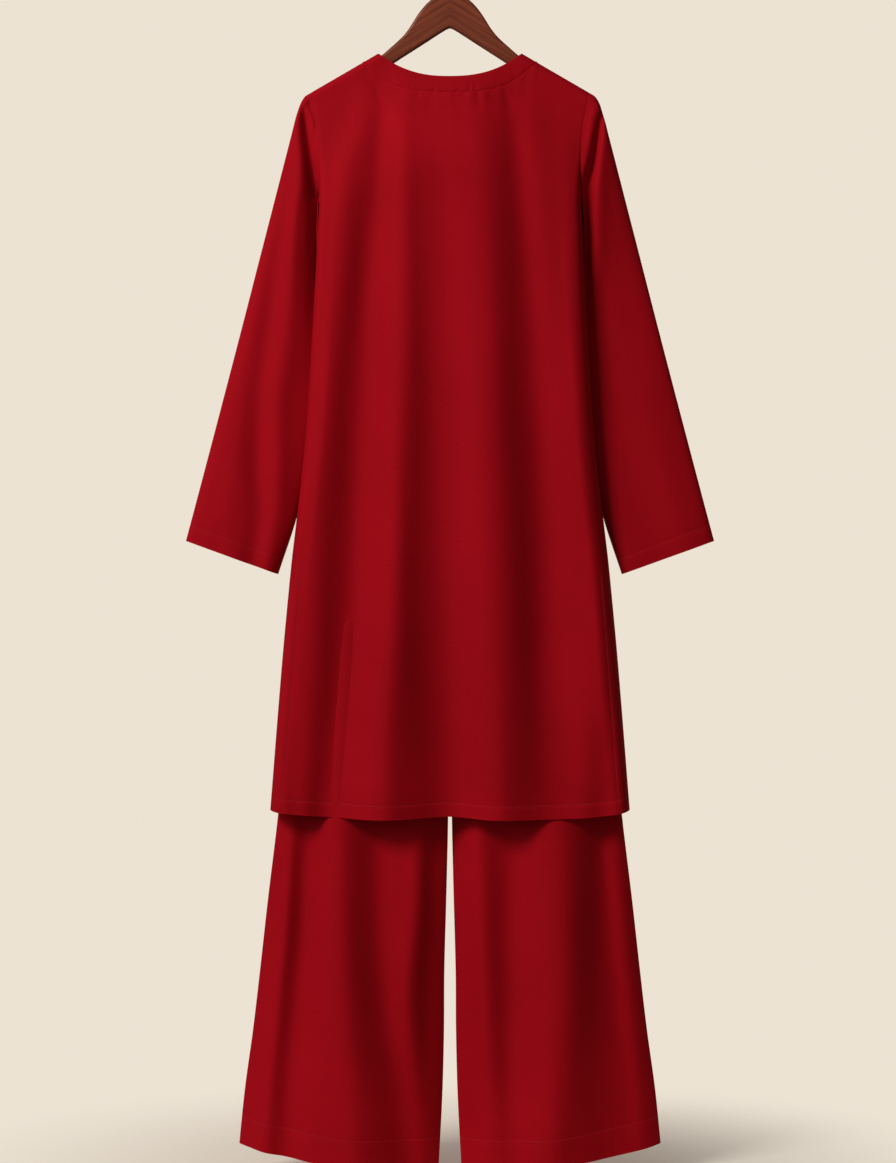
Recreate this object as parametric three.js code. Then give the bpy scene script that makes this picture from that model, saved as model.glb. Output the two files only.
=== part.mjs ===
// A kurta set on a hanger: a long-sleeved kurta seen from its back, and wide trousers below it.
// Millimetres, +Z up. The origin is the inside top of the hook. The kurta's back faces -Y and
// its front +Y, so -X is the wearer's left. The set is even about the plane x = 0 but for its folds.
import * as THREE from 'three';

// Cloth
const CLOTH = 1.5;
const BAND_CLOTH = 2.4;
const SEAM = 0.3;
const SLANT_SEAM = 0.5;
const ARMHOLE_SEAM = 0.4;

// Kurta: neck, shoulders and lengths
const NECK_HALF = 96.6;
const NECK_TOP = -139.2;
const NECK_ARCH = 28;
const SHOULDER_SLOPE = 0.58;
const SHOULDER_END = 185.2;
const SHOULDER_LOW = NECK_TOP - (SHOULDER_END - NECK_HALF) * SHOULDER_SLOPE;
const ARMPIT = -341.5;
const ARMPIT_HALF = 176.5;
const SLIT_TOP = -825;
const HEM = -1153;
const BAND_END = 115.75;
const BACK_NECK = { edge: -169, edgePower: 2.4, seam: -190.6, seamPower: 3.1 };
const FRONT_NECK = { edge: -227, edgePower: 2.2, seam: -248, seamPower: 2.4 };

// Kurta: depth from the hanger's plane to the cloth
const SHOULDER_HALF = 10.5;
const SHOULDER_ROUND = 11;
const BODY_FILL = 190;
const BACK_DEPTH = 50;
const FRONT_DEPTH = 50;
const BACK_POWER = 14;
const FRONT_POWER = 6;
const SLIT_PART = 12;
const SLIT_EASE = 140;
const ARMPIT_POWER = 3.5;
const SIDE_CLOSE_TOP = -235;
const SIDE_CLOSE = 105;
const FOLD_FADE_EDGE = 28;
const FOLD_FADE_TOP = 150;

// Height, half width of the kurta's body: down the armhole, then down the side
const BODY_EDGE = [
  [SHOULDER_LOW, SHOULDER_END],
  [-213, 182.5],
  [-236, 177.5],
  [-275, 174],
  [-315, 174],
  [ARMPIT, ARMPIT_HALF],
  [-443, 181],
  [-550, 187],
  [-657, 194.5],
  [-765, 206],
  [SLIT_TOP, 213],
  [-912, 221],
  [-1020, 230],
  [HEM, 240.5],
];

// Place across, height of the back's hem
const BACK_HEM = [
  [-1, HEM],
  [-0.93, -1156.5],
  [-0.55, -1163],
  [-0.28, -1163.5],
  [0, -1161],
  [0.24, -1164.5],
  [0.7, -1163.2],
  [0.93, -1157.5],
  [1, HEM],
];
const FRONT_HEM = [
  [-1, HEM],
  [-0.9, -1158],
  [-0.4, -1164],
  [0.1, -1162],
  [0.5, -1164.5],
  [0.9, -1158],
  [1, HEM],
];

// Long soft folds. Each row: x at the chest, hip and hem, height there (a trough is below 0), spread
const CHEST = -310;
const HIP = -760;
const BACK_FOLDS = [
  [-142, -178, -197, 2, 6, 7, 20],
  [-94, -126, -160, -2, -6, -7, 22],
  [-62, -72, -88, 3, 6, 8, 23],
  [-14, -8, -8, -3, -7, -9, 27],
  [43, 61, 73, 2, 6, 8, 27],
  [94, 122, 133, -3, -7, -7, 24],
  [160, 177, 166, 2, 4, 4, 18],
];
const FRONT_FOLDS = [
  [-100, -128, -150, -2, -4, -8, 22],
  [-58, -70, -92, 2, 3, 5, 26],
  [-12, -14, -22, -2, -5, -9, 24],
  [34, 44, 48, 2, 3, 5, 28],
  [84, 104, 106, -2, -4, -9, 22],
  [126, 150, 164, 1, 3, 6, 20],
];

// Sleeve rings from the armhole to the cuff, for the wearer's right arm.
// Share of the way, outer x and z, inner x and z, y of the middle, half depth
const SLEEVE = [
  [0, SHOULDER_END, SHOULDER_LOW, ARMPIT_HALF, ARMPIT, 0, 30],
  [0.02, 195.5, -197.5, 177.7, -350, 2, 30],
  [0.05, 203, -212, 178.3, -363, 7, 30],
  [0.13, 213.5, -252, 179.6, -396, 15, 28],
  [0.24, 229.5, -313, 177, -443, 20, 26],
  [0.4, 253, -403, 172, -510, 23, 24],
  [0.57, 279, -504, 177, -581, 24, 24],
  [0.73, 305, -604, 187.5, -667, 23, 25],
  [0.87, 330, -700, 205, -755, 20, 26],
  [1, 354.3, -793, 231.5, -837.4, 16, 28],
];
const SLEEVE_POWER = 1.15;
const SLEEVE_STATIONS = 14;
const SLEEVE_HEAD_SHARE = 0.2;
// Place from the outer to the inner edge, height at the head and at the cuff, spread
const LEFT_SLEEVE_FOLDS = [
  [0.3, 1, 5, 0.12],
  [0.6, -1, -6, 0.13],
  [0.84, 0, 3, 0.1],
];
const RIGHT_SLEEVE_FOLDS = [
  [0.3, 0, 2, 0.16],
  [0.62, -1, -3, 0.15],
];

// Trousers
const WAIST_TOP = -560;
const WAIST_SEAM = -598;
const CROTCH = -899;
const CROTCH_CURVE = 90;
const TROUSER_POWER = 0.8;
const TROUSER_HEM = -1601;
const TROUSER_HEM_DROP = 29;
const TROUSER_HEM_POWER = 2.2;
// Height, half width over both legs, inner edge of a leg, half depth
const TROUSERS = [
  [WAIST_TOP, 161, 0, 24],
  [-700, 179, 0, 25],
  [CROTCH, 203, 0, 25],
  [-1000, 214, 1, 25],
  [-1167, 231.5, 2.5, 26],
  [-1275, 244.5, 5, 33],
  [-1369, 255, 7.5, 40],
  [-1449, 264.4, 8, 44],
  [-1530, 275.5, 10, 47],
  [TROUSER_HEM - TROUSER_HEM_DROP, 285.5, 15, 49],
];
// Leg folds. Each row: x at the kurta's hem and at the trouser hem, height at the two, spread
const LEG_FOLDS_TOP = -1000;
const LEG_FOLDS_LOW = TROUSER_HEM;
const LEFT_BACK_FOLDS = [
  [-205, -257, 2, 4, 14],
  [-178, -203, -2, -6, 20],
  [-148, -125, 2, 6, 24],
  [-92, -74, -3, -7, 22],
  [-38, -40, 2, 4, 16],
];
const RIGHT_BACK_FOLDS = [
  [34, 56, 2, 5, 18],
  [86, 86, -2, -5, 20],
  [160, 126, 3, 6, 24],
  [200, 205, -3, -7, 20],
  [226, 262, 1, 3, 14],
];
const LEFT_FRONT_FOLDS = [
  [-190, -206, -2, -7, 20],
  [-140, -146, 2, 5, 22],
  [-78, -84, -2, -7, 22],
];
const RIGHT_FRONT_FOLDS = [
  [70, 76, -2, -7, 20],
  [124, 130, 2, 5, 22],
  [176, 196, -2, -7, 20],
];

// Hanger
const HANGER_THICK = 10;
const HANGER_ROUND = 3;
const HANGER_TOP = -62;
const BAND_CLEAR = 6.6;
const HANGER_CLEAR = 4.4;
const BAR_Z = -226;
const BAR_RADIUS = 5;
const BAR_HALF = 158;
// Half of the wooden body, from the middle of its top along the upper edge and back: x, z
const HANGER_OUTLINE = [
  [0, HANGER_TOP],
  [19, HANGER_TOP - 0.5],
  [27, -67.5],
  [36, -77],
  [45, -89],
  [53, -103],
  [62, -115.5],
  [76.5, -128.5],
  [91.5, NECK_TOP - 2.4],
  [96.6, NECK_TOP - BAND_CLEAR],
  [117, -151 - BAND_CLEAR],
  [124, -155.1 - HANGER_CLEAR],
  [182, -188.8 - HANGER_CLEAR],
  [188, -194 - HANGER_CLEAR],
  [190.5, -202],
  [188.5, -209],
  [180, -212],
  [174, -217],
  [171.5, -229],
  [168, -234.5],
  [162.5, -234.5],
  [BAR_HALF + SEAM, -229],
  [BAR_HALF + SEAM, -214],
  [152, -203],
  [75.2, -151.5],
  [40, -129.5],
  [18, -115],
  [7, -108],
];
const HANGER_APEX = -106;
const HOOK_WIRE = 1.9;
const HOOK_INSIDE = 21;
const HOOK_BEND = 10;
const HOOK_END_DEGREES = 205;
const HOOK_BEND_STEPS = 4;
const HOOK_ROUND_STEPS = 16;
const COLLAR_RADIUS = 5.5;
const COLLAR_HIGH = 4;

// Hanging loops of the trousers: tape over the bar
const LOOP_AT = 100;
const LOOP_WIDE = 8;
const TAPE = 1;
const LOOP_CLEAR = 0.5;
const LOOP_LOW = WAIST_SEAM + 6;

// How finely each wall is divided
// Places of the body's columns from the middle to the side, closer together by the neck's corner
const COLUMN_PLACES = [
  0, 0.085, 0.17, 0.255, 0.335, 0.41, 0.475, 0.53, 0.575, 0.605, 0.625,
  0.7, 0.785, 0.855, 0.91, 0.955, 1,
];
const BAND_PLACE = 0.625;
const ARMHOLE_STEPS = 10;
const BACK_SIDE_ROWS = 13;
const FRONT_SIDE_ROWS = 10;
const WAIST_COLUMNS = 9;
const LEG_COLUMNS = 13;
const LEG_UPPER_ROWS = 4;
const CROTCH_ROWS = [0.55, 0.85, 1];
const LEG_LOWER_ROWS = 9;

const CRIMSON = { color: 0x9c0f1e, roughness: 0.82, metalness: 0 };
const TAPE_CRIMSON = { color: 0x8a0c18, roughness: 0.7, metalness: 0 };
const WOOD = { color: 0x6d2f1c, roughness: 0.35, metalness: 0 };
const STEEL = { color: 0xb9bbbd, roughness: 0.25, metalness: 1 };

const X = new THREE.Vector3(1, 0, 0);
const Y = new THREE.Vector3(0, 1, 0);
const UP = new THREE.Vector3(0, 0, 1);
const DOWN = new THREE.Vector3(0, 0, -1);

// Curves

function mix(a, b, share) {
  return a + (b - a) * share;
}

function smooth(value) {
  const k = Math.min(Math.max(value, 0), 1);
  return k * k * (3 - 2 * k);
}

function bump(distance, spread) {
  return Math.exp(-((distance / spread) ** 2) / 2);
}

/** Reads a column of a table at a value of its first column, along a smooth curve through the rows. */
function along(rows, at, column = 1) {
  const rising = rows[rows.length - 1][0] > rows[0][0];
  let low = 0;
  while (low < rows.length - 2 && (rising ? at > rows[low + 1][0] : at < rows[low + 1][0])) {
    low += 1;
  }
  const slope = (row) => {
    const before = rows[Math.max(row - 1, 0)];
    const after = rows[Math.min(row + 1, rows.length - 1)];
    return (after[column] - before[column]) / (after[0] - before[0]);
  };
  const [a, b] = [rows[low], rows[low + 1]];
  const span = b[0] - a[0];
  const k = Math.min(Math.max((at - a[0]) / span, 0), 1);
  const ease = k * k * (3 - 2 * k);
  const lead = k * (1 - k) * (1 - k) * span * slope(low);
  const trail = k * k * (k - 1) * span * slope(low + 1);
  return mix(a[column], b[column], ease) + lead + trail;
}

/** Sums the folds of a table of three stations at x, with `share` running 0 to 2 down the cloth. */
function foldHeight(folds, x, share) {
  return folds.reduce((sum, [x0, x1, x2, h0, h1, h2, spread]) => {
    const part = share < 1 ? smooth(share) : smooth(share - 1);
    const centre = share < 1 ? mix(x0, x1, part) : mix(x1, x2, part);
    const height = share < 1 ? mix(h0, h1, part) : mix(h1, h2, part);
    return sum + height * bump(x - centre, spread);
  }, 0);
}

// Cloth walls

/** The normal of a grid at one point, from its neighbours on both sides. */
function gridNormal(rows, j, i, closed) {
  const count = rows[j].length;
  const next = closed ? (i + 1) % count : Math.min(i + 1, count - 1);
  const last = closed ? (i + count - 1) % count : Math.max(i - 1, 0);
  const across = rows[j][next].clone().sub(rows[j][last]);
  const down = rows[Math.min(j + 1, rows.length - 1)][i].clone().sub(rows[Math.max(j - 1, 0)][i]);
  return across.cross(down).normalize();
}

/** A normal turned into the plane of a seam, and lengthened so that the wall keeps its thickness. */
function inSeam(normal, seamNormal) {
  const flat = normal.clone().addScaledVector(seamNormal, -normal.dot(seamNormal));
  return flat.multiplyScalar(1 / Math.max(flat.lengthSq(), 0.35));
}

/**
 * A closed cloth wall from a grid of its outer points. `outward` is 1 where the grid's own normals
 * point out of the garment. `rim` gives the outward direction at seams, where the wall is mitred.
 */
function clothWall(name, look, rows, outward, { thick = CLOTH, closed = false, rim = null } = {}) {
  const high = rows.length;
  const wide = rows[0].length;
  const positions = [];
  rows.forEach((row) => row.forEach((point) => positions.push(point.x, point.y, point.z)));
  rows.forEach((row, j) => row.forEach((point, i) => {
    const normal = gridNormal(rows, j, i, closed).multiplyScalar(outward);
    const out = rim ? rim(j, i, normal) : normal;
    const inner = point.clone().addScaledVector(out, -thick);
    positions.push(inner.x, inner.y, inner.z);
  }));
  const outer = (j, i) => j * wide + (i % wide);
  const inner = (j, i) => high * wide + outer(j, i);
  const triangles = [];
  const quad = (a, b, c, d) => triangles.push(a, b, c, a, c, d);
  const columns = closed ? wide : wide - 1;
  for (let j = 0; j < high - 1; j += 1) {
    for (let i = 0; i < columns; i += 1) {
      quad(outer(j, i), outer(j, i + 1), outer(j + 1, i + 1), outer(j + 1, i));
      quad(inner(j, i), inner(j + 1, i), inner(j + 1, i + 1), inner(j, i + 1));
    }
  }
  for (let i = 0; i < columns; i += 1) {
    quad(outer(0, i + 1), outer(0, i), inner(0, i), inner(0, i + 1));
    quad(outer(high - 1, i), outer(high - 1, i + 1), inner(high - 1, i + 1), inner(high - 1, i));
  }
  for (let j = 0; !closed && j < high - 1; j += 1) {
    quad(outer(j, 0), outer(j + 1, 0), inner(j + 1, 0), inner(j, 0));
    quad(outer(j + 1, wide - 1), outer(j, wide - 1), inner(j, wide - 1), inner(j + 1, wide - 1));
  }
  if (outward < 0) {
    triangles.reverse();
  }
  const geometry = new THREE.BufferGeometry();
  geometry.setAttribute('position', new THREE.Float32BufferAttribute(positions, 3));
  geometry.setIndex(triangles);
  geometry.computeVertexNormals();
  return piece(name, geometry, look);
}

function piece(name, geometry, look) {
  const mesh = new THREE.Mesh(geometry, new THREE.MeshStandardMaterial(look));
  mesh.name = name;
  return mesh;
}

// Kurta body

/** Height of the shoulder line at x, carried over the neck as a low arch. */
function shoulderLine(x) {
  const aside = Math.abs(x);
  if (aside >= NECK_HALF) {
    return NECK_TOP - (aside - NECK_HALF) * SHOULDER_SLOPE;
  }
  return NECK_TOP + NECK_ARCH * (1 - (aside / NECK_HALF) ** 2);
}

/** Half depth of the body's cloth at x and z, before the folds. */
function fill(x, z, full) {
  const drop = Math.max(shoulderLine(x) - z, 0);
  const over = Math.sqrt(1 - (1 - Math.min(drop / SHOULDER_ROUND, 1)) ** 2);
  return SHOULDER_HALF * over + (full - SHOULDER_HALF) * smooth(drop / BODY_FILL);
}

/** Half depth of the body's edge: round the armhole, closed along the side seam, parted at the slit. */
function edgeDepth(z) {
  if (z > SHOULDER_LOW) {
    return 0;
  }
  if (z > ARMPIT) {
    const share = (SHOULDER_LOW - z) / (SHOULDER_LOW - ARMPIT);
    return fill(along(BODY_EDGE, z), z, FRONT_DEPTH) * Math.sqrt(1 - share ** ARMPIT_POWER);
  }
  return SLIT_PART * smooth((SLIT_TOP - z) / SLIT_EASE);
}

const BACK = {
  name: 'kurta_back',
  facing: -1,
  depth: BACK_DEPTH,
  power: BACK_POWER,
  neck: BACK_NECK,
  hem: BACK_HEM,
  folds: BACK_FOLDS,
  sideRows: BACK_SIDE_ROWS,
};
const FRONT = {
  name: 'kurta_front',
  facing: 1,
  depth: FRONT_DEPTH,
  power: FRONT_POWER,
  neck: FRONT_NECK,
  hem: FRONT_HEM,
  folds: FRONT_FOLDS,
  sideRows: FRONT_SIDE_ROWS,
};

/** A point of the kurta's body at x and z. */
function bodyPoint(panel, x, z) {
  const halfWidth = along(BODY_EDGE, Math.min(z, SHOULDER_LOW));
  const place = Math.min(Math.abs(x) / halfWidth, 1);
  const edge = edgeDepth(z);
  const open = fill(x, z, panel.depth);
  const closed = edge + (open - edge) * (1 - place ** panel.power);
  const flat = mix(open, closed, smooth((SIDE_CLOSE_TOP - z) / SIDE_CLOSE));
  const level = z > HIP ? Math.max((CHEST - z) / (CHEST - HIP), 0) : 1 + (HIP - z) / (HIP - HEM);
  const fade = smooth((halfWidth - Math.abs(x)) / FOLD_FADE_EDGE)
    * smooth((shoulderLine(x) - z) / FOLD_FADE_TOP);
  const depth = flat + foldHeight(panel.folds, x, Math.min(level, 2)) * fade;
  return new THREE.Vector3(x, panel.facing * (SEAM / 2 + depth), z);
}

/** Height of the neck's edge or of the neckband's seam at x. */
function neckLine(low, power, half, x) {
  const top = shoulderLine(half);
  return low + (top - low) * Math.min(Math.abs(x) / half, 1) ** power;
}

/** The body's top edge: the neckband's seam, then the shoulder line. */
function bodyTop(panel, x) {
  if (Math.abs(x) >= BAND_END) {
    return shoulderLine(x);
  }
  return neckLine(panel.neck.seam, panel.neck.seamPower, BAND_END, x) - SLANT_SEAM;
}

/** Heights of the body's rows at its edge: ARMHOLE_STEPS down the armhole, the rest down the side. */
function edgeLevels(sideRows) {
  const levels = [];
  for (let step = 0; step <= ARMHOLE_STEPS; step += 1) {
    levels.push(mix(SHOULDER_LOW, ARMPIT, (1 - Math.cos((Math.PI * step) / ARMHOLE_STEPS)) / 2));
  }
  for (let row = 1; row <= sideRows; row += 1) {
    levels.push(mix(ARMPIT, HEM, row / sideRows));
  }
  return levels;
}

/** Places across the body, or across the neckband alone, from -1 at one end to 1 at the other. */
function placesAcross(end) {
  const half = COLUMN_PLACES.filter((place) => place <= end).map((place) => place / end);
  return [...half.slice(1).reverse().map((place) => -place), ...half];
}

function kurtaPanel(panel) {
  const levels = edgeLevels(panel.sideRows);
  const places = placesAcross(1);
  const rows = levels.map((level) => {
    const share = (SHOULDER_LOW - level) / (SHOULDER_LOW - HEM);
    return places.map((across) => {
      const top = bodyTop(panel, across * SHOULDER_END);
      const z = mix(top, along(panel.hem, across), share);
      return bodyPoint(panel, across * along(BODY_EDGE, level), z);
    });
  });
  const rim = (j, i, normal) => {
    const atSide = i === 0 || i === places.length - 1;
    if (atSide && j === 0) {
      return UP;
    }
    if (atSide && j === ARMHOLE_STEPS) {
      return DOWN;
    }
    if (atSide && j < ARMHOLE_STEPS) {
      return inSeam(normal, X);
    }
    if (j === 0 && Math.abs(rows[0][i].x) < BAND_END - SEAM) {
      return Y.clone().multiplyScalar(panel.facing);
    }
    const sewn = atSide && edgeDepth(levels[j]) < CLOTH;
    return sewn || j === 0 ? inSeam(normal, Y) : normal;
  };
  return clothWall(panel.name, CRIMSON, rows, panel.facing, { rim });
}

function neckBand(panel) {
  const { edge, edgePower, seam, seamPower } = panel.neck;
  const places = placesAcross(BAND_PLACE);
  const seamHalf = BAND_END - SLANT_SEAM;
  const rows = [0, 0.5, 1].map((share) => places.map((across) => {
    const x = mix(NECK_HALF, seamHalf, share) * across;
    const high = neckLine(edge, edgePower, NECK_HALF, across * NECK_HALF);
    const low = neckLine(seam, seamPower, seamHalf, across * seamHalf);
    return bodyPoint(panel, x, mix(high, low, share));
  }));
  const rim = (j, i, normal) => {
    if (i === 0 || i === places.length - 1) {
      return inSeam(normal, Y);
    }
    return j === rows.length - 1 ? Y.clone().multiplyScalar(panel.facing) : normal;
  };
  const name = panel.facing < 0 ? 'neck_band_back' : 'neck_band_front';
  return clothWall(name, CRIMSON, rows, panel.facing, { thick: BAND_CLOTH, rim });
}

// Sleeves

/** A sleeve: rings that start as the armhole and end at the cuff. `side` is -1 for the wearer's left. */
function sleeve(name, side, folds) {
  const around = 2 * ARMHOLE_STEPS;
  const rows = [];
  for (let station = 0; station <= SLEEVE_STATIONS; station += 1) {
    const share = (station / SLEEVE_STATIONS) ** 1.5;
    const [outerX, outerZ, innerX, innerZ, middleY, half] = [1, 2, 3, 4, 5, 6].map(
      (column) => along(SLEEVE, share, column),
    );
    const loose = smooth(share / SLEEVE_HEAD_SHARE);
    rows.push(Array.from({ length: around }, (unused, i) => {
      const turn = (2 * Math.PI * i) / around;
      const place = (1 - Math.cos(turn)) / 2;
      const face = Math.sin(turn) >= 0 ? -1 : 1;
      const z = mix(outerZ, innerZ, place);
      const armholeZ = mix(SHOULDER_LOW, ARMPIT, place);
      const headX = along(BODY_EDGE, armholeZ) + ARMHOLE_SEAM;
      const bend = (headX - mix(SHOULDER_END, ARMPIT_HALF, place)) * (1 - loose);
      const x = mix(outerX, innerX, place) + bend;
      const lens = Math.abs(Math.sin(turn)) ** SLEEVE_POWER;
      const fold = folds.reduce((sum, [at, head, cuff, spread]) => {
        return sum + mix(head, cuff, share) * bump(place - at, spread);
      }, 0);
      const free = middleY + face * (half * lens + fold * lens);
      const head = face * (i === 0 || i === ARMHOLE_STEPS ? 0 : edgeDepth(armholeZ));
      return new THREE.Vector3(side * x, mix(head, free, loose), z);
    }));
  }
  const rim = (j, i, normal) => (j === 0 ? inSeam(normal, X) : normal);
  return clothWall(name, CRIMSON, rows, side, { closed: true, rim });
}

// Trousers

/** How far the centre seam stands from the middle plane: 1 above the crotch curve, 0 at the crotch. */
function crotchOpen(z) {
  const down = Math.min(Math.max((CROTCH + CROTCH_CURVE - z) / CROTCH_CURVE, 0), 1);
  return Math.sqrt(1 - down * down);
}

/**
 * A point of a trouser leg. `side` is -1 for the wearer's left leg, `face` -1 for its back, and
 * `across` runs from 0 at the outer seam to 1 at the inner one.
 */
function legPoint(side, face, folds, across, z) {
  const open = crotchOpen(z);
  const halfTurn = Math.PI - Math.asin(open ** (1 / TROUSER_POWER));
  const lens = Math.max(Math.sin(halfTurn * across), 0) ** TROUSER_POWER;
  const inner = Math.max(along(TROUSERS, z, 2), 0) + SEAM / 2;
  const x = mix(along(TROUSERS, z, 1), inner, across) * side;
  const level = Math.min(Math.max((LEG_FOLDS_TOP - z) / (LEG_FOLDS_TOP - LEG_FOLDS_LOW), 0), 1);
  const fold = folds.reduce((sum, [topX, lowX, topHeight, lowHeight, spread]) => {
    return sum + mix(topHeight, lowHeight, level) * bump(x - mix(topX, lowX, level), spread);
  }, 0);
  const fade = smooth((WAIST_SEAM - z) / 400) * smooth(Math.sin(Math.PI * across) * 2.2);
  const depth = along(TROUSERS, z, 3) * lens + fold * fade;
  return new THREE.Vector3(x, face * (SEAM / 2 + depth), z);
}

function trouserPanel(name, side, face, folds) {
  const levels = [];
  for (let row = 0; row <= LEG_UPPER_ROWS; row += 1) {
    levels.push(mix(WAIST_SEAM, CROTCH + CROTCH_CURVE, row / LEG_UPPER_ROWS));
  }
  CROTCH_ROWS.forEach((share) => levels.push(CROTCH + CROTCH_CURVE * (1 - share)));
  const crotchRow = levels.length - 1;
  for (let row = 1; row <= LEG_LOWER_ROWS; row += 1) {
    levels.push(mix(CROTCH, TROUSER_HEM, row / LEG_LOWER_ROWS));
  }
  const rows = levels.map((level) => Array.from({ length: LEG_COLUMNS + 1 }, (unused, i) => {
    const across = i / LEG_COLUMNS;
    const sunk = TROUSER_HEM_DROP * (1 - (1 - across) ** TROUSER_HEM_POWER);
    const z = level - sunk * smooth((CROTCH - level) / (CROTCH - TROUSER_HEM));
    return legPoint(side, face, folds, across, z);
  }));
  const rim = (j, i, normal) => {
    if (i === 0 || (i === LEG_COLUMNS && j > crotchRow)) {
      return inSeam(normal, Y);
    }
    if (i === LEG_COLUMNS && j === crotchRow) {
      return DOWN;
    }
    return i === LEG_COLUMNS ? inSeam(normal, X) : normal;
  };
  return clothWall(name, CRIMSON, rows, -side * face, { rim });
}

function waistBand() {
  const half = WAIST_COLUMNS;
  const corners = [[-1, -1], [1, -1], [1, 1], [-1, 1]];
  const rows = [WAIST_TOP, (WAIST_TOP + WAIST_SEAM) / 2, WAIST_SEAM + SEAM].map((z) => {
    const ring = [];
    corners.forEach(([side, face], quarter) => {
      for (let i = 0; i < half; i += 1) {
        const across = quarter % 2 === 0 ? i / half : 1 - i / half;
        const point = legPoint(side, face, [], across, z);
        const onSeam = across === 0 ? 0 : point.y;
        ring.push(new THREE.Vector3(across === 1 ? 0 : point.x, onSeam, z));
      }
    });
    return ring;
  });
  return clothWall('waistband', CRIMSON, rows, -1, { thick: BAND_CLOTH, closed: true });
}

// Hanger

function hangerBody() {
  const right = HANGER_OUTLINE.map(([x, z]) => new THREE.Vector2(x, z));
  const left = HANGER_OUTLINE.slice(1).reverse().map(([x, z]) => new THREE.Vector2(-x, z));
  const outline = new THREE.Shape([...right, new THREE.Vector2(0, HANGER_APEX), ...left]);
  const geometry = new THREE.ExtrudeGeometry(outline, {
    depth: HANGER_THICK - 2 * HANGER_ROUND,
    bevelEnabled: true,
    bevelThickness: HANGER_ROUND,
    bevelSize: HANGER_ROUND,
    bevelOffset: -HANGER_ROUND,
    bevelSegments: 3,
  });
  geometry.translate(0, 0, HANGER_ROUND - HANGER_THICK / 2);
  geometry.rotateX(Math.PI / 2);
  return piece('hanger_body', geometry, WOOD);
}

function trouserBar() {
  const geometry = new THREE.CylinderGeometry(BAR_RADIUS, BAR_RADIUS, 2 * BAR_HALF, 16);
  geometry.rotateZ(Math.PI / 2);
  const mesh = piece('hanger_bar', geometry, WOOD);
  mesh.position.z = BAR_Z;
  return mesh;
}

/** The hook: a shank, a bend to one side that runs into most of a circle over the origin. */
function hook() {
  const radius = HOOK_INSIDE + HOOK_WIRE;
  const centre = -HOOK_INSIDE;
  const lean = Math.acos(HOOK_BEND / (radius + HOOK_BEND));
  const shankTop = centre - (radius + HOOK_BEND) * Math.sin(lean);
  const points = [new THREE.Vector3(0, 0, HANGER_TOP + SEAM + COLLAR_HIGH / 2)];
  for (let step = 0; step < HOOK_BEND_STEPS; step += 1) {
    const turn = (lean * step) / HOOK_BEND_STEPS;
    const x = HOOK_BEND * (1 - Math.cos(turn));
    points.push(new THREE.Vector3(x, 0, shankTop + HOOK_BEND * Math.sin(turn)));
  }
  const end = (HOOK_END_DEGREES * Math.PI) / 180;
  for (let step = 0; step <= HOOK_ROUND_STEPS; step += 1) {
    const turn = mix(-lean, end, step / HOOK_ROUND_STEPS);
    points.push(new THREE.Vector3(radius * Math.cos(turn), 0, centre + radius * Math.sin(turn)));
  }
  const section = new THREE.Shape().absarc(0, 0, HOOK_WIRE, 0, 2 * Math.PI);
  const wire = new THREE.ExtrudeGeometry(section, {
    steps: 36,
    bevelEnabled: false,
    curveSegments: 4,
    extrudePath: new THREE.CatmullRomCurve3(points),
  });
  return piece('hanger_hook', wire, STEEL);
}

function hookCollar() {
  const low = HANGER_TOP + SEAM;
  const profile = [
    new THREE.Vector2(HOOK_WIRE + SEAM, 0),
    new THREE.Vector2(COLLAR_RADIUS, 0),
    new THREE.Vector2(COLLAR_RADIUS, COLLAR_HIGH * 0.6),
    new THREE.Vector2(COLLAR_RADIUS - 1.6, COLLAR_HIGH),
    new THREE.Vector2(HOOK_WIRE + SEAM, COLLAR_HIGH),
    new THREE.Vector2(HOOK_WIRE + SEAM, 0),
  ];
  const geometry = new THREE.LatheGeometry(profile, 20);
  geometry.rotateX(Math.PI / 2);
  const mesh = piece('hook_collar', geometry, STEEL);
  mesh.position.z = low;
  return mesh;
}

/** A hanging loop: one tape over the bar, with both ends sewn inside the waistband. */
function hangingLoop(name, x) {
  const over = BAR_RADIUS + SEAM;
  const across = 1 - LOOP_AT / along(TROUSERS, WAIST_TOP, 1);
  const spread = legPoint(1, 1, [], across, WAIST_TOP).y - BAND_CLOTH - LOOP_CLEAR;
  const arch = (radius, foot) => {
    const points = [new THREE.Vector2(foot, LOOP_LOW)];
    for (let degrees = 0; degrees <= 180; degrees += 20) {
      const turn = (degrees * Math.PI) / 180;
      points.push(new THREE.Vector2(radius * Math.cos(turn), BAR_Z + radius * Math.sin(turn)));
    }
    points.push(new THREE.Vector2(-foot, LOOP_LOW));
    return points;
  };
  const outer = arch(over + TAPE, spread);
  const inner = arch(over, spread - TAPE).reverse();
  const geometry = new THREE.ExtrudeGeometry(new THREE.Shape([...outer, ...inner]), {
    depth: LOOP_WIDE,
    bevelEnabled: false,
  });
  geometry.rotateX(Math.PI / 2);
  geometry.rotateZ(Math.PI / 2);
  geometry.translate(x - LOOP_WIDE / 2, 0, 0);
  return piece(name, geometry, TAPE_CRIMSON);
}

// The whole set

const kurta = new THREE.Group();
kurta.add(kurtaPanel(BACK), kurtaPanel(FRONT), neckBand(BACK), neckBand(FRONT));
kurta.add(sleeve('sleeve_left', -1, LEFT_SLEEVE_FOLDS), sleeve('sleeve_right', 1, RIGHT_SLEEVE_FOLDS));

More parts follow.
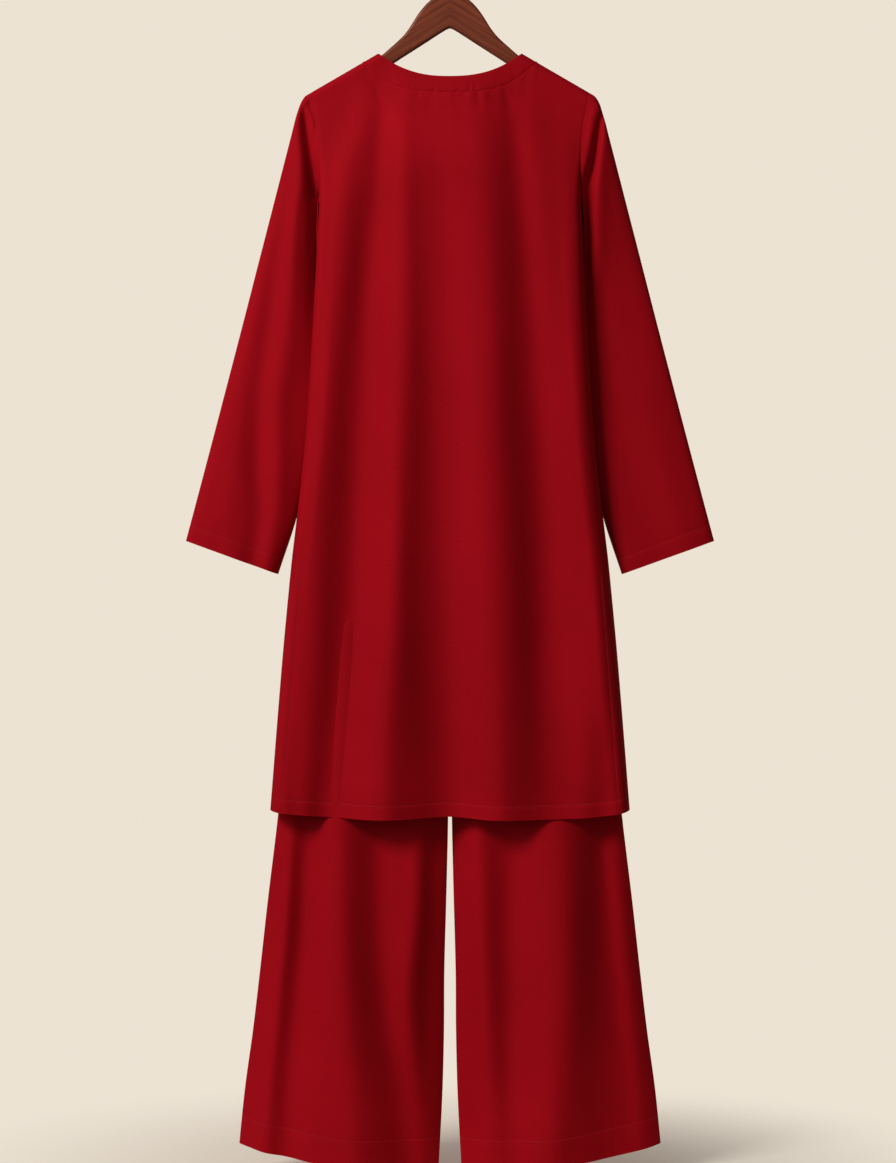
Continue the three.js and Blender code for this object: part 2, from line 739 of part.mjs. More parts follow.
const trousers = new THREE.Group();
trousers.add(
  waistBand(),
  trouserPanel('trouser_back_left', -1, -1, LEFT_BACK_FOLDS),
  trouserPanel('trouser_back_right', 1, -1, RIGHT_BACK_FOLDS),
  trouserPanel('trouser_front_left', -1, 1, LEFT_FRONT_FOLDS),
  trouserPanel('trouser_front_right', 1, 1, RIGHT_FRONT_FOLDS),
  hangingLoop('hanging_loop_left', -LOOP_AT),
  hangingLoop('hanging_loop_right', LOOP_AT),
);

const hanger = new THREE.Group();
hanger.add(hangerBody(), trouserBar(), hook(), hookCollar());

const kurtaSet = new THREE.Group();
kurtaSet.add(kurta, trousers, hanger);

export default kurtaSet;
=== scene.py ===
import logging
import math
from abc import ABC, abstractmethod
from collections.abc import Sequence
from dataclasses import dataclass, field
from enum import Enum

import bmesh
import bpy
import numpy as np
from mathutils import Matrix, Vector


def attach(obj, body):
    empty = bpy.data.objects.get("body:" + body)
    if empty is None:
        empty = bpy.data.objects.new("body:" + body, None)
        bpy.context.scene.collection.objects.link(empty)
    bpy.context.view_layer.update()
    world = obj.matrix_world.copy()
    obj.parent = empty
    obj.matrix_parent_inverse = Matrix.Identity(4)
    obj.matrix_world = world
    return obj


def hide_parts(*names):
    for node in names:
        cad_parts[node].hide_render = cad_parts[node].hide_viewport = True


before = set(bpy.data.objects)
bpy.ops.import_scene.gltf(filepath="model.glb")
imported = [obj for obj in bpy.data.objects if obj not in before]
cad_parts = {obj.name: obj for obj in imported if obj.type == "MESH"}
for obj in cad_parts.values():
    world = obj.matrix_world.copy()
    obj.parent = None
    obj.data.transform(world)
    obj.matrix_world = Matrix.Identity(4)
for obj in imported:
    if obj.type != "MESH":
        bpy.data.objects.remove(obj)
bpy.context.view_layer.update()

# A plain crimson kurta set, seen from its back on a wooden hanger. Sizes are in millimetres, in the
# model's own frame: the origin is the inside top of the hook, the kurta's back faces -Y, and -X is
# the wearer's left. Shapes are worked out in millimetres and scaled once, as each mesh is made.

LOG = logging.getLogger("kurta_set")
MM = 0.001

# The photograph: its frame in pixels, a pixel's size at the garment, and the pixel on the axis
PHOTO_WIDE = 896
PHOTO_HIGH = 1163
PIXEL = 1.342
AXIS_PIXEL = 450
ORIGIN_PIXEL = -50

# Neck, shoulders and armholes: heights are z, halves are measured from the middle
NECK_HALF = 96.6
NECK_TOP = -139.2
NECK_ARCH = 28.0
BAND_END = 115.75
BAND_LAP = 1.0
SHOULDER_SLOPE = 0.58
SHOULDER_END = 185.2
SHOULDER_LOW = NECK_TOP - (SHOULDER_END - NECK_HALF) * SHOULDER_SLOPE
SHOULDER_HALF = 10.5
SHOULDER_ROUND = 11.0
ARMHOLE_LAP = 0.3
ARMPIT = -341.5
ARMPIT_HALF = 176.5
ARMPIT_POWER = 3.5

# The body's slits and hem, and its depth: how far down it fills out, how far it falls away to the
# sides, how squarely it turns at the edge and where that turn sets in
SLIT_TOP = -825.0
SLIT_PART = 12.0
SLIT_OPENS = 140.0
HEM = -1153.0
BACK_DEPTH = 50.0
FRONT_DEPTH = 50.0
BODY_FILL = 190.0
SIDE_EASE = 15.0
SIDE_REACH = 165.0
BACK_POWER = 70.0
FRONT_POWER = 6.0
EDGE_TURNS = -235.0
EDGE_TURNED = 105.0

# Trousers and hanger
WAIST_TOP = -560.0
WAIST_SEAM = -598.0
CROTCH = -899.0
CROTCH_CURVE = 90.0
TROUSER_HEM = -1601.0
TROUSER_HEM_DROP = 29.0
HANGER_TOP = -62.0
BAR_Z = -226.0
BAR_RADIUS = 5.0

# Folds: how deep all hang, as a multiple of their rows, and how near the body's side and shoulder
# they fade out
DRAPE = 1.5
SIDE_FADE = 28.0
TOP_FADE = 150.0

# The wall thins out over this distance to a closed seam. FAR stands for no seam near by.
WALL_FADE = 4.0
FAR = 99.0

# A turned edge's step ends softly over this distance
TURN_SOFT = 2.5

Colour = tuple[float, float, float]
Array = np.ndarray


class Slot(Enum):
    """The record's material slots."""

    CLOTH = "crimson_cloth"
    TAPE = "satin_tape"
    WOOD = "dark_wood"
    STEEL = "bright_steel"


class Side(Enum):
    """The wearer's left, at -X, or right."""

    LEFT = -1
    RIGHT = 1


class Face(Enum):
    """The garment's back, at -Y, or front."""

    BACK = -1
    FRONT = 1


def mix(start: float | Array, end: float | Array, share: float | Array) -> float | Array:
    """Goes from start to end by a share of the way."""
    return start + (end - start) * share


def smooth(value: float | Array) -> Array:
    """Rises softly from 0 to 1 while value goes from 0 to 1."""
    share = np.clip(value, 0.0, 1.0)
    return share * share * (3.0 - 2.0 * share)


def bell(distance: float | Array, spread: float | Array) -> Array:
    """A soft bump, 1 in the middle, with the spread of a bell curve."""
    return np.exp(-0.5 * (distance / spread) ** 2)


@dataclass(frozen=True)
class Table:
    """Rows of sizes, read along a smooth curve by their first column."""

    rows: tuple[tuple[float, ...], ...]

    def at(self, value: float | Array, column: int = 1) -> Array:
        """Reads a column.

        Args:
            value: Places in the first column.
            column: The column to read.

        Returns:
            The sizes at those places.
        """
        rows = np.array(sorted(self.rows))
        keys, sizes = rows[:, 0], rows[:, column]
        last = len(keys) - 1
        before = np.maximum(np.arange(last + 1) - 1, 0)
        after = np.minimum(np.arange(last + 1) + 1, last)
        slopes = (sizes[after] - sizes[before]) / (keys[after] - keys[before])
        low = np.clip(np.searchsorted(keys, value, side="right") - 1, 0, last - 1)
        span = keys[low + 1] - keys[low]
        k = np.clip((value - keys[low]) / span, 0.0, 1.0)
        curve = mix(sizes[low], sizes[low + 1], smooth(k))
        return curve + span * k * (1 - k) * (slopes[low] * (1 - k) - slopes[low + 1] * k)


@dataclass(frozen=True)
class Fold:
    """A long soft fold. Each row gives a place down the cloth, a place across it, how far the cloth
    stands out there (below 0 for a trough) and the fold's spread. On the body and legs the places
    are z and x. On a sleeve they are hundredths down and round it, and at its head z and the
    distance out from the armhole's seam. Tucks and puckers go by the distance from the neckband's
    seam and x.
    """

    rows: tuple[tuple[float, float, float, float], ...]

    def height(self, across: Array, down: Array) -> Array:
        """How far the cloth stands out at places across and down the cloth."""
        table = Table(self.rows)
        return table.at(down, 2) * bell(across - table.at(down, 1), table.at(down, 3))


def folds_at(levels: Sequence[float], *folds: Sequence[tuple[float, float, float]]) -> tuple[Fold, ...]:
    """Makes folds that share their places down the cloth.

    Args:
        levels: The places down the cloth.
        folds: The rest of each fold's rows: place across, height and spread.

    Returns:
        The folds.
    """
    return tuple(Fold(tuple((level, *row) for level, row in zip(levels, fold))) for fold in folds)


@dataclass(frozen=True)
class Ripple:
    """Faint unevenness of hung cloth: a few long waves that never line up."""

    height: float = 0.5
    waves: tuple[tuple[float, float, float], ...] = (
        (0.071, 0.0061, 0.4),
        (0.113, -0.0094, 2.1),
        (0.167, 0.0127, 4.4),
        (0.029, 0.0233, 1.3),
    )

    def at(self, across: Array, down: Array) -> Array:
        """How far the cloth stands out at places across and down the cloth."""
        total = sum(np.sin(a * across + d * down + start) for a, d, start in self.waves)
        return self.height * total / len(self.waves)


def stand_out(folds: Sequence[Fold], across: Array, down: Array) -> Array:
    """Sums what the folds add at places across and down the cloth."""
    return sum((fold.height(across, down) for fold in folds), np.zeros_like(across))


def groove(distance: Array, wide: float = 1.6, deep: float = 0.45) -> Array:
    """A sewn line's dent, by the distance to the line."""
    return -deep * bell(distance, wide)


def turned(distance: Array, turn: float, rise: float) -> Array:
    """How far a turned edge stands out, by the distance from the edge and the turn's width."""
    return rise * (1 - smooth((distance - turn + 1) / TURN_SOFT))


def spread_ends(share: Array, strength: float) -> Array:
    """Moves evenly spaced places between 0 and 1 towards both ends."""
    return share - strength * np.sin(2 * math.pi * share) / (2 * math.pi)


# Finishes


class Wiring:
    """A material's node tree while it is put together."""

    def __init__(self, name: str) -> None:
        """Starts an empty material with its output and its surface shader."""
        self.material = bpy.data.materials.new(name)
        self.material.use_nodes = True
        self.tree = self.material.node_tree
        self.tree.nodes.clear()
        self.surface = self.add("ShaderNodeBsdfPrincipled")
        self.output = self.add("ShaderNodeOutputMaterial")
        self.join(self.surface, "BSDF", self.output, "Surface")

    def add(self, kind: str, inputs: dict[str | int, object] | None = None,
            **settings: object) -> bpy.types.Node:
        """Adds a node.

        Args:
            kind: The node's type.
            inputs: Values for its sockets, by name or number.
            settings: Values for its own settings.

        Returns:
            The new node.
        """
        node = self.tree.nodes.new(kind)
        for key, value in settings.items():
            setattr(node, key, value)
        for key, value in (inputs or {}).items():
            node.inputs[key].default_value = value
        return node

    def join(self, source: bpy.types.Node, out: str | int, target: bpy.types.Node, into: str | int) -> None:
        """Links one node's output to another's input."""
        self.tree.links.new(source.outputs[out], target.inputs[into])

    def total(self, parts: Sequence[tuple[bpy.types.Node, float]], start: float = 0.0) -> bpy.types.Node:
        """Adds up the first output of several nodes.

        Args:
            parts: The nodes, each with its weight.
            start: What the sum starts from.

        Returns:
            The node that holds the sum.
        """
        last = None
        for source, weight in parts:
            node = self.add("ShaderNodeMath", {1: weight, 2: start}, operation="MULTIPLY_ADD")
            self.join(source, 0, node, 0)
            if last is not None:
                self.join(last, 0, node, 2)
            last = node
        return last

    def paint(self, tone: bpy.types.Node, stops: Sequence[tuple[float, Colour]]) -> None:
        """Colours the surface.

        Args:
            tone: The node whose factor, or first output, picks the colour.
            stops: Places between 0 and 1, each with its colour.
        """
        ramp = self.add("ShaderNodeValToRGB")
        elements = ramp.color_ramp.elements
        while len(elements) < len(stops):
            elements.new(0.5)
        for element, (place, colour) in zip(elements, stops):
            element.position = place
            element.color = (*colour, 1.0)
        self.join(tone, "Fac" if "Fac" in tone.outputs else 0, ramp, "Fac")
        self.join(ramp, "Color", self.surface, "Base Color")

    def emboss(self, relief: bpy.types.Node, strength: float, deep: float) -> None:
        """Raises the surface by a node's factor or first output, at most `deep` millimetres."""
        bump = self.add("ShaderNodeBump", {"Strength": strength, "Distance": deep * MM})
        self.join(relief, "Fac" if "Fac" in relief.outputs else 0, bump, "Height")
        self.join(bump, "Normal", self.surface, "Normal")

    def polish(self, values: dict[str, float | tuple[float, ...]]) -> None:
        """Sets the surface shader's own values, by the sockets' names."""
        for name, value in values.items():
            self.surface.inputs[name].default_value = value


@dataclass(frozen=True)
class Finish(ABC):
    """A finish that is made into one material."""

    name: str

    def material(self) -> bpy.types.Material:
        """Makes the material.

        Returns:
            The material.
        """
        wiring = Wiring(self.name)
        self.wire(wiring)
        return wiring.material

    @abstractmethod
    def wire(self, wiring: Wiring) -> None:
        """Puts the finish's nodes together.

        Args:
            wiring: The material's node tree.
        """


@dataclass(frozen=True)
class Crepe(Finish):
    """Matte crimson crepe: a close plain weave of slightly uneven yarns, with a soft sheen."""

    name: str = "crimson_crepe"
    dark: Colour = (0.300, 0.0012, 0.0060)
    light: Colour = (0.385, 0.0022, 0.0088)
    yarn_pitch: float = 0.55
    roughness: float = 0.8
    sheen: float = 0.12
    weave_depth: float = 0.05
    grain: float = 0.7
    grain_scale: float = 420.0

    def wire(self, wiring: Wiring) -> None:
        """Puts the finish's nodes together; see Finish."""
        cut = wiring.add("ShaderNodeUVMap", uv_map="cut")
        turns = math.pi / (10 * self.yarn_pitch * MM) / math.pi
        weave = wiring.add("ShaderNodeMath", operation="MAXIMUM")
        for number, (way, uneven) in enumerate((("X", 0.6), ("Y", 0.9))):
            yarns = wiring.add(
                "ShaderNodeTexWave",
                {"Scale": turns, "Distortion": uneven, "Detail": 1.0, "Detail Scale": 0.05},
                bands_direction=way,
            )
            wiring.join(cut, 0, yarns, "Vector")
            wiring.join(yarns, "Fac", weave, number)
        stretch = wiring.add("ShaderNodeMapping", {"Scale": (260.0, 1500.0, 1.0)})
        slub = wiring.add("ShaderNodeTexNoise", {"Scale": 1.0, "Detail": 2.0, "Roughness": 0.6})
        wiring.join(cut, 0, stretch, "Vector")
        wiring.join(stretch, "Vector", slub, "Vector")
        cloud = wiring.add("ShaderNodeTexNoise", {"Scale": 5.0, "Detail": 3.0, "Roughness": 0.55})
        wiring.join(cut, 0, cloud, "Vector")
        grain = wiring.add("ShaderNodeTexNoise", {"Scale": self.grain_scale, "Detail": 2.0, "Roughness": 0.7})
        wiring.join(cut, 0, grain, "Vector")
        tone = wiring.total(((slub, 0.35), (cloud, 0.8), (grain, self.grain)), -0.05 - 0.5 * self.grain)
        wiring.paint(tone, ((0.26, self.dark), (0.78, self.light)))
        relief = wiring.add("ShaderNodeMath", {1: 0.6}, operation="MULTIPLY_ADD")
        wiring.join(slub, "Fac", relief, 0)
        wiring.join(weave, 0, relief, 2)
        wiring.emboss(relief, 0.55, self.weave_depth)
        wiring.polish({
            "Roughness": self.roughness,
            "Specular IOR Level": 0.06,
            "Sheen Weight": self.sheen,
            "Sheen Roughness": 0.45,
            "Sheen Tint": (1.0, 0.03, 0.05, 1.0),
        })


@dataclass(frozen=True)
class Thread(Finish):
    """Sewing thread, a shade lighter than the cloth and a little glossier."""

    name: str = "crimson_thread"
    colour: Colour = (0.46, 0.014, 0.028)

    def wire(self, wiring: Wiring) -> None:
        """Puts the finish's nodes together; see Finish."""
        where = wiring.add("ShaderNodeTexCoord")
        twist = wiring.add("ShaderNodeTexNoise", {"Scale": 2600.0, "Detail": 1.0})
        wiring.join(where, "Object", twist, "Vector")
        darker = tuple(0.7 * channel for channel in self.colour)
        wiring.paint(twist, ((0.35, darker), (0.65, self.colour)))
        wiring.polish({"Roughness": 0.5})


@dataclass(frozen=True)
class SatinTape(Finish):
    """Narrow woven tape with ribs across it."""

    name: str = "ribbed_tape"
    dark: Colour = (0.2, 0.004, 0.01)
    light: Colour = (0.34, 0.008, 0.018)

    def wire(self, wiring: Wiring) -> None:
        """Puts the finish's nodes together; see Finish."""
        cut = wiring.add("ShaderNodeUVMap", uv_map="cut")
        ribs = wiring.add("ShaderNodeTexWave", {"Scale": 120.0}, bands_direction="Y")
        wiring.join(cut, 0, ribs, "Vector")
        wiring.paint(ribs, ((0.0, self.dark), (1.0, self.light)))
        wiring.emboss(ribs, 0.5, 0.1)
        wiring.polish({"Roughness": 0.35, "Anisotropic": 0.4})


@dataclass(frozen=True)
class VarnishedWood(Finish):
    """Dark red-brown stained wood, with its grain along each arm, under a clear satin varnish."""

    name: str = "varnished_wood"
    dark: Colour = (0.075, 0.0125, 0.0045)
    middle: Colour = (0.170, 0.0300, 0.0095)
    light: Colour = (0.260, 0.0560, 0.0180)
    arm_angle: float = 30.0

    def wire(self, wiring: Wiring) -> None:
        """Puts the finish's nodes together; see Finish."""
        where = wiring.add("ShaderNodeTexCoord")
        parts = wiring.add("ShaderNodeSeparateXYZ")
        aside = wiring.add("ShaderNodeMath", operation="ABSOLUTE")
        mirrored = wiring.add("ShaderNodeCombineXYZ")
        wiring.join(where, "Object", parts, 0)
        wiring.join(parts, "X", aside, 0)
        wiring.join(aside, 0, mirrored, "X")
        wiring.join(parts, "Y", mirrored, "Y")
        wiring.join(parts, "Z", mirrored, "Z")
        turned_on = wiring.add("ShaderNodeMapping", {"Rotation": (0.0, -math.radians(self.arm_angle), 0.0)})
        wiring.join(mirrored, 0, turned_on, "Vector")
        streak_settings = {"Scale": 1.0, "Detail": 5.0, "Roughness": 0.62, "Distortion": 0.6}
        grains = []
        for scale, settings in (
            ((9.0, 190.0, 190.0), streak_settings),
            ((60.0, 1400.0, 1400.0), {"Scale": 1.0, "Detail": 2.0}),
        ):
            stretch = wiring.add("ShaderNodeMapping", {"Scale": scale})
            wiring.join(turned_on, 0, stretch, "Vector")
            grain = wiring.add("ShaderNodeTexNoise", settings)
            wiring.join(stretch, 0, grain, "Vector")
            grains.append(grain)
        streak, pore = grains
        tone = wiring.add("ShaderNodeMath", {1: 0.22}, operation="MULTIPLY_ADD")
        wiring.join(pore, "Fac", tone, 0)
        wiring.join(streak, "Fac", tone, 2)
        wiring.paint(tone, ((0.4, self.dark), (0.6, self.middle), (0.82, self.light)))
        wiring.emboss(tone, 0.25, 0.12)
        wiring.polish({
            "Roughness": 0.5, "Specular IOR Level": 0.25, "Coat Weight": 0.12, "Coat Roughness": 0.22,
        })


@dataclass(frozen=True)
class PolishedSteel(Finish):
    """Nickelled steel wire, drawn along its length."""

    name: str = "nickelled_steel"
    colour: Colour = (0.62, 0.61, 0.59)

    def wire(self, wiring: Wiring) -> None:
        """Puts the finish's nodes together; see Finish."""
        where = wiring.add("ShaderNodeTexCoord")
        drawn = wiring.add("ShaderNodeTexNoise", {"Scale": 700.0, "Detail": 3.0})
        wiring.join(where, "Object", drawn, "Vector")
        rough = wiring.add("ShaderNodeMapRange", {"To Min": 0.16, "To Max": 0.34})
        wiring.join(drawn, "Fac", rough, "Value")
        wiring.join(rough, 0, wiring.surface, "Roughness")
        wiring.polish({"Base Color": (*self.colour, 1.0), "Metallic": 1.0})


@dataclass(frozen=True)
class Finishes:
    """Every material of the set, made once."""

    cloth: bpy.types.Material
    thread: bpy.types.Material
    tape: bpy.types.Material
    wood: bpy.types.Material
    steel: bpy.types.Material

    @classmethod
    def make(cls) -> "Finishes":
        """Makes them all."""
        kinds = (Crepe, Thread, SatinTape, VarnishedWood, PolishedSteel)
        return cls(*(kind().material() for kind in kinds))


# Pieces


def put(name: str, shape: bmesh.types.BMesh, finish: bpy.types.Material,
        replaces: Sequence[str] = ()) -> bpy.types.Object:
    """Makes an object of a finished bmesh, in metres, and rides it on the set's one body.

    Args:
        name: The piece's name.
        shape: The bmesh, which is freed.
        finish: Its material.
        replaces: The plain solids that it stands for.

    Returns:
        The object.
    """
    mesh = bpy.data.meshes.new(name)
    for face in shape.faces:
        face.smooth = True
    shape.to_mesh(mesh)
    shape.free()
    mesh.materials.append(finish)
    piece = bpy.data.objects.new(name, mesh)
    bpy.context.scene.collection.objects.link(piece)
    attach(piece, "root")
    for node in replaces:
        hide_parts(node)
    LOG.info("%s: %d faces", name, len(mesh.polygons))
    return piece


@dataclass(frozen=True)
class Cut:
    """The flat piece that a maker cuts: width, length and area, in millimetres."""

    width: float
    length: float
    share: float = 1.0
    held: str = "hung"


@dataclass(frozen=True)
class StitchRow:
    """A row of stitches between two places on a piece, as shares across and down."""

    start: tuple[float, float]
    end: tuple[float, float]
    pitch: float = 3.2


class ClothPiece(ABC):
    """A cut piece of cloth: a grid of points moved onto its form, then given its thickness."""

    name: str
    cut: Cut
    outward: int = 1
    columns: int = 100
    rows: int = 100
    thick: float = 1.2
    tube: bool = False
    end_pull: tuple[float, float] = (0.4, 0.6)
    carrier: str = "hanger_body"

    @abstractmethod
    def form(self, across: Array, down: Array) -> Array:
        """Works out points of the cloth's outer face.

        Args:
            across: Places across the piece, from 0 to 1.
            down: Places down it, from 0 at its top to 1 at its hem.

        Returns:
            An array of points in millimetres, a row each.
        """

    def build(self, finish: bpy.types.Material, slot: Slot = Slot.CLOTH) -> bpy.types.Object:
        """Args:
            finish: Its material.
            slot: Not used.

        Returns:
            The object.
        """
        shape = bmesh.new()
        bmesh.ops.create_grid(shape, x_segments=self.columns, y_segments=self.rows, size=0.5)
        layer = shape.loops.layers.uv.new("cut")
        for poly in shape.faces:
            for loop in poly.loops:
                spot = loop.vert.co
                loop[layer].uv = ((spot.x + 0.5) * self.cut.width * MM, (spot.y + 0.5) * self.cut.length * MM)
        places = np.array([(vert.co.x + 0.5, 0.5 - vert.co.y) for vert in shape.verts])
        across = spread_ends(places[:, 0], self.end_pull[0])
        down = spread_ends(places[:, 1], self.end_pull[1])
        points = self.form(across, down)
        shares = shape.verts.layers.deform.verify()
        for vert, point, share in zip(shape.verts, points * MM, self.wall_share(across, down)):
            vert.co = point
            vert[shares][0] = float(share)
        if self.tube:
            bmesh.ops.remove_doubles(shape, verts=shape.verts, dist=0.001 * MM)
        if self.outward > 0:
            bmesh.ops.reverse_faces(shape, faces=shape.faces)
        piece = put(f"{self.name}_{finish.name}", shape, finish, [self.name])
        thicken(piece, self.thick)
        return piece

    def wall_share(self, across: Array, down: Array) -> Array:
        """How much of the wall's thickness stands there: it thins out towards a closed seam."""
        return np.ones_like(across)

    def normals(self, across: Array, down: Array) -> tuple[Array, Array, Array]:
        """Points of the outer face, with directions.

        Args:
            across: Places across the piece.
            down: Places down it.

        Returns:
            The points, the outward normals and the directions across, a row each.
        """
        step = 1e-4
        points = self.form(across, down)
        aside = self.form(across + step, down) - self.form(across - step, down)
        below = self.form(across, down + step) - self.form(across, down - step)
        out = np.cross(aside, below) * self.outward
        return points, out / np.linalg.norm(out, axis=1)[:, None], aside

    def sew(self, name: str, rows: Sequence[StitchRow], finish: bpy.types.Material) -> bpy.types.Object:
        """Sews rows of stitches onto the outer face.

        Args:
            name: The thread's name.
            rows: The rows.
            finish: The thread's material.

        Returns:
            The object with every stitch.
        """
        shape = bmesh.new()
        for row in rows:
            share = np.linspace(0.0, 1.0, 400)
            across = mix(row.start[0], row.end[0], share)
            down = mix(row.start[1], row.end[1], share)
            path = self.form(across, down)
            length = np.concatenate(([0.0], np.cumsum(np.linalg.norm(np.diff(path, axis=0), axis=1))))
            count = max(int(length[-1] / row.pitch), 1)
            marks = np.interp((np.arange(count) + 0.5) * length[-1] / count, length, share)
            marks = np.clip(marks, 0.001, 0.999)
            along = mix(row.start[0], row.end[0], marks), mix(row.start[1], row.end[1], marks)
            points, normals, _ = self.normals(*along)
            ways = np.gradient(points, axis=0)
            for point, normal, way in zip(points, normals, ways):
                stitch(shape, Vector(point * MM), Vector(normal), Vector(way))
        return put(name, shape, finish)


def stitch(shape: bmesh.types.BMesh, place: Vector, normal: Vector, way: Vector) -> None:
    """Adds one stitch: a short rounded bar of thread that lies on the cloth.

    Args:
        shape: The bmesh that takes it.
        place: Its middle.
        normal: Out of the cloth.
        way: Along the row.
    """
    way = (way - normal * way.dot(normal)).normalized()
    turn = Matrix((way, normal.cross(way), normal)).transposed().to_4x4()
    size = Matrix.Diagonal((1.15 * MM, 0.27 * MM, 0.2 * MM, 1.0))
    matrix = Matrix.Translation(place + normal * 0.1 * MM) @ turn @ size
    bmesh.ops.create_icosphere(shape, subdivisions=1, radius=1.0, matrix=matrix)


def thicken(piece: bpy.types.Object, thick: float) -> None:
    """Gives a sheet its wall, on the inside, and rounds the wall's edges.

    Args:
        piece: The sheet.
        thick: The wall, in millimetres.
    """
    wall = piece.modifiers.new("wall", "SOLIDIFY")
    wall.thickness = thick * MM
    wall.offset = -1.0
    wall.vertex_group = piece.vertex_groups.new(name="wall").name
    wall.thickness_vertex_group = 0.05
    edge = piece.modifiers.new("edge", "BEVEL")
    edge.width = 0.3 * MM
    edge.segments = 2
    edge.limit_method = "ANGLE"
    edge.angle_limit = math.radians(60)
    shade = piece.modifiers.new("shade", "WEIGHTED_NORMAL")
    shade.keep_sharp = False


# Kurta


BODY_EDGE = Table((
    (SHOULDER_LOW, SHOULDER_END),
    (-213, 182.5),
    (-236, 177.5),
    (-275, 174),
    (-315, 174),
    (ARMPIT, ARMPIT_HALF),
    (-443, 181),
    (-550, 187),
    (-657, 194.5),
    (-765, 206),
    (SLIT_TOP, 213),
    (-912, 221),
    (-1020, 230),
    (HEM, 240.5),
))


@dataclass(frozen=True)
class NeckCut:
    """A neckline: its edge and its band's seam at the middle, and how squarely each curves up."""

    edge: float
    edge_power: float
    seam: float
    seam_power: float


def shoulder_line(x: Array) -> Array:
    """Height of the shoulder line at x, carried over the neck as a low arch."""
    aside = np.abs(x)
    arch = NECK_TOP + NECK_ARCH * (1 - (aside / NECK_HALF) ** 2)
    return np.where(aside >= NECK_HALF, NECK_TOP - (aside - NECK_HALF) * SHOULDER_SLOPE, arch)


def body_fill(x: Array, z: Array, full: float) -> Array:
    """Half depth of the body's cloth at x and z, before the folds."""
    drop = np.maximum(shoulder_line(x) - z, 0.0)
    over = np.sqrt(1 - (1 - np.minimum(drop / SHOULDER_ROUND, 1.0)) ** 2)
    eased = full - SIDE_EASE * smooth(np.abs(x) / SIDE_REACH)
    return SHOULDER_HALF * over + (eased - SHOULDER_HALF) * smooth(drop / BODY_FILL)


def edge_depth(z: Array) -> Array:
    """Half depth at the body's edge: round the armhole, closed at the side seam, open at the slit."""
    share = np.clip((SHOULDER_LOW - z) / (SHOULDER_LOW - ARMPIT), 0.0, 1.0)
    armhole = body_fill(BODY_EDGE.at(z), z, FRONT_DEPTH) * np.sqrt(1 - share ** ARMPIT_POWER)
    slit = SLIT_PART * smooth((SLIT_TOP - z) / SLIT_OPENS)
    depth = np.where(z > ARMPIT, armhole, slit)
    return np.where(z > SHOULDER_LOW, 0.0, depth)


def neck_line(low: float, power: float, half: float, x: Array) -> Array:
    """Height of a neckline at x, from its lowest point up to the shoulder line at `half`."""
    top = float(shoulder_line(np.array(half)))
    return low + (top - low) * np.minimum(np.abs(x) / half, 1.0) ** power


@dataclass(frozen=True)
class BodySurface:
    """The outer face of the kurta's back or front."""

    face: Face
    depth: float
    power: float
    neck: NeckCut
    hem: Table
    folds: tuple[Fold, ...]
    ripple: Ripple = Ripple()

    def point(self, x: Array, z: Array, raised: Array | float = 0.0) -> Array:
        """Points of the surface.

        Args:
            x: Places across.
            z: Heights.
            raised: How far detail stands out there.

        Returns:
            The points, a row each.
        """
        half = BODY_EDGE.at(np.minimum(z, SHOULDER_LOW))
        place = np.minimum(np.abs(x) / half, 1.0)
        edge = edge_depth(z)
        full = body_fill(x, z, self.depth)
        closed = edge + (full - edge) * (1 - place ** self.power)
        flat = mix(full, closed, smooth((EDGE_TURNS - z) / EDGE_TURNED))
        fade = smooth((half - np.abs(x)) / SIDE_FADE) * smooth((shoulder_line(x) - z) / TOP_FADE)
        uneven = DRAPE * stand_out(self.folds, x, z) + self.ripple.at(x, z)
        depth = np.maximum(flat + uneven * fade + raised, 0.0)
        return np.stack((x, self.face.value * depth, z), axis=1)


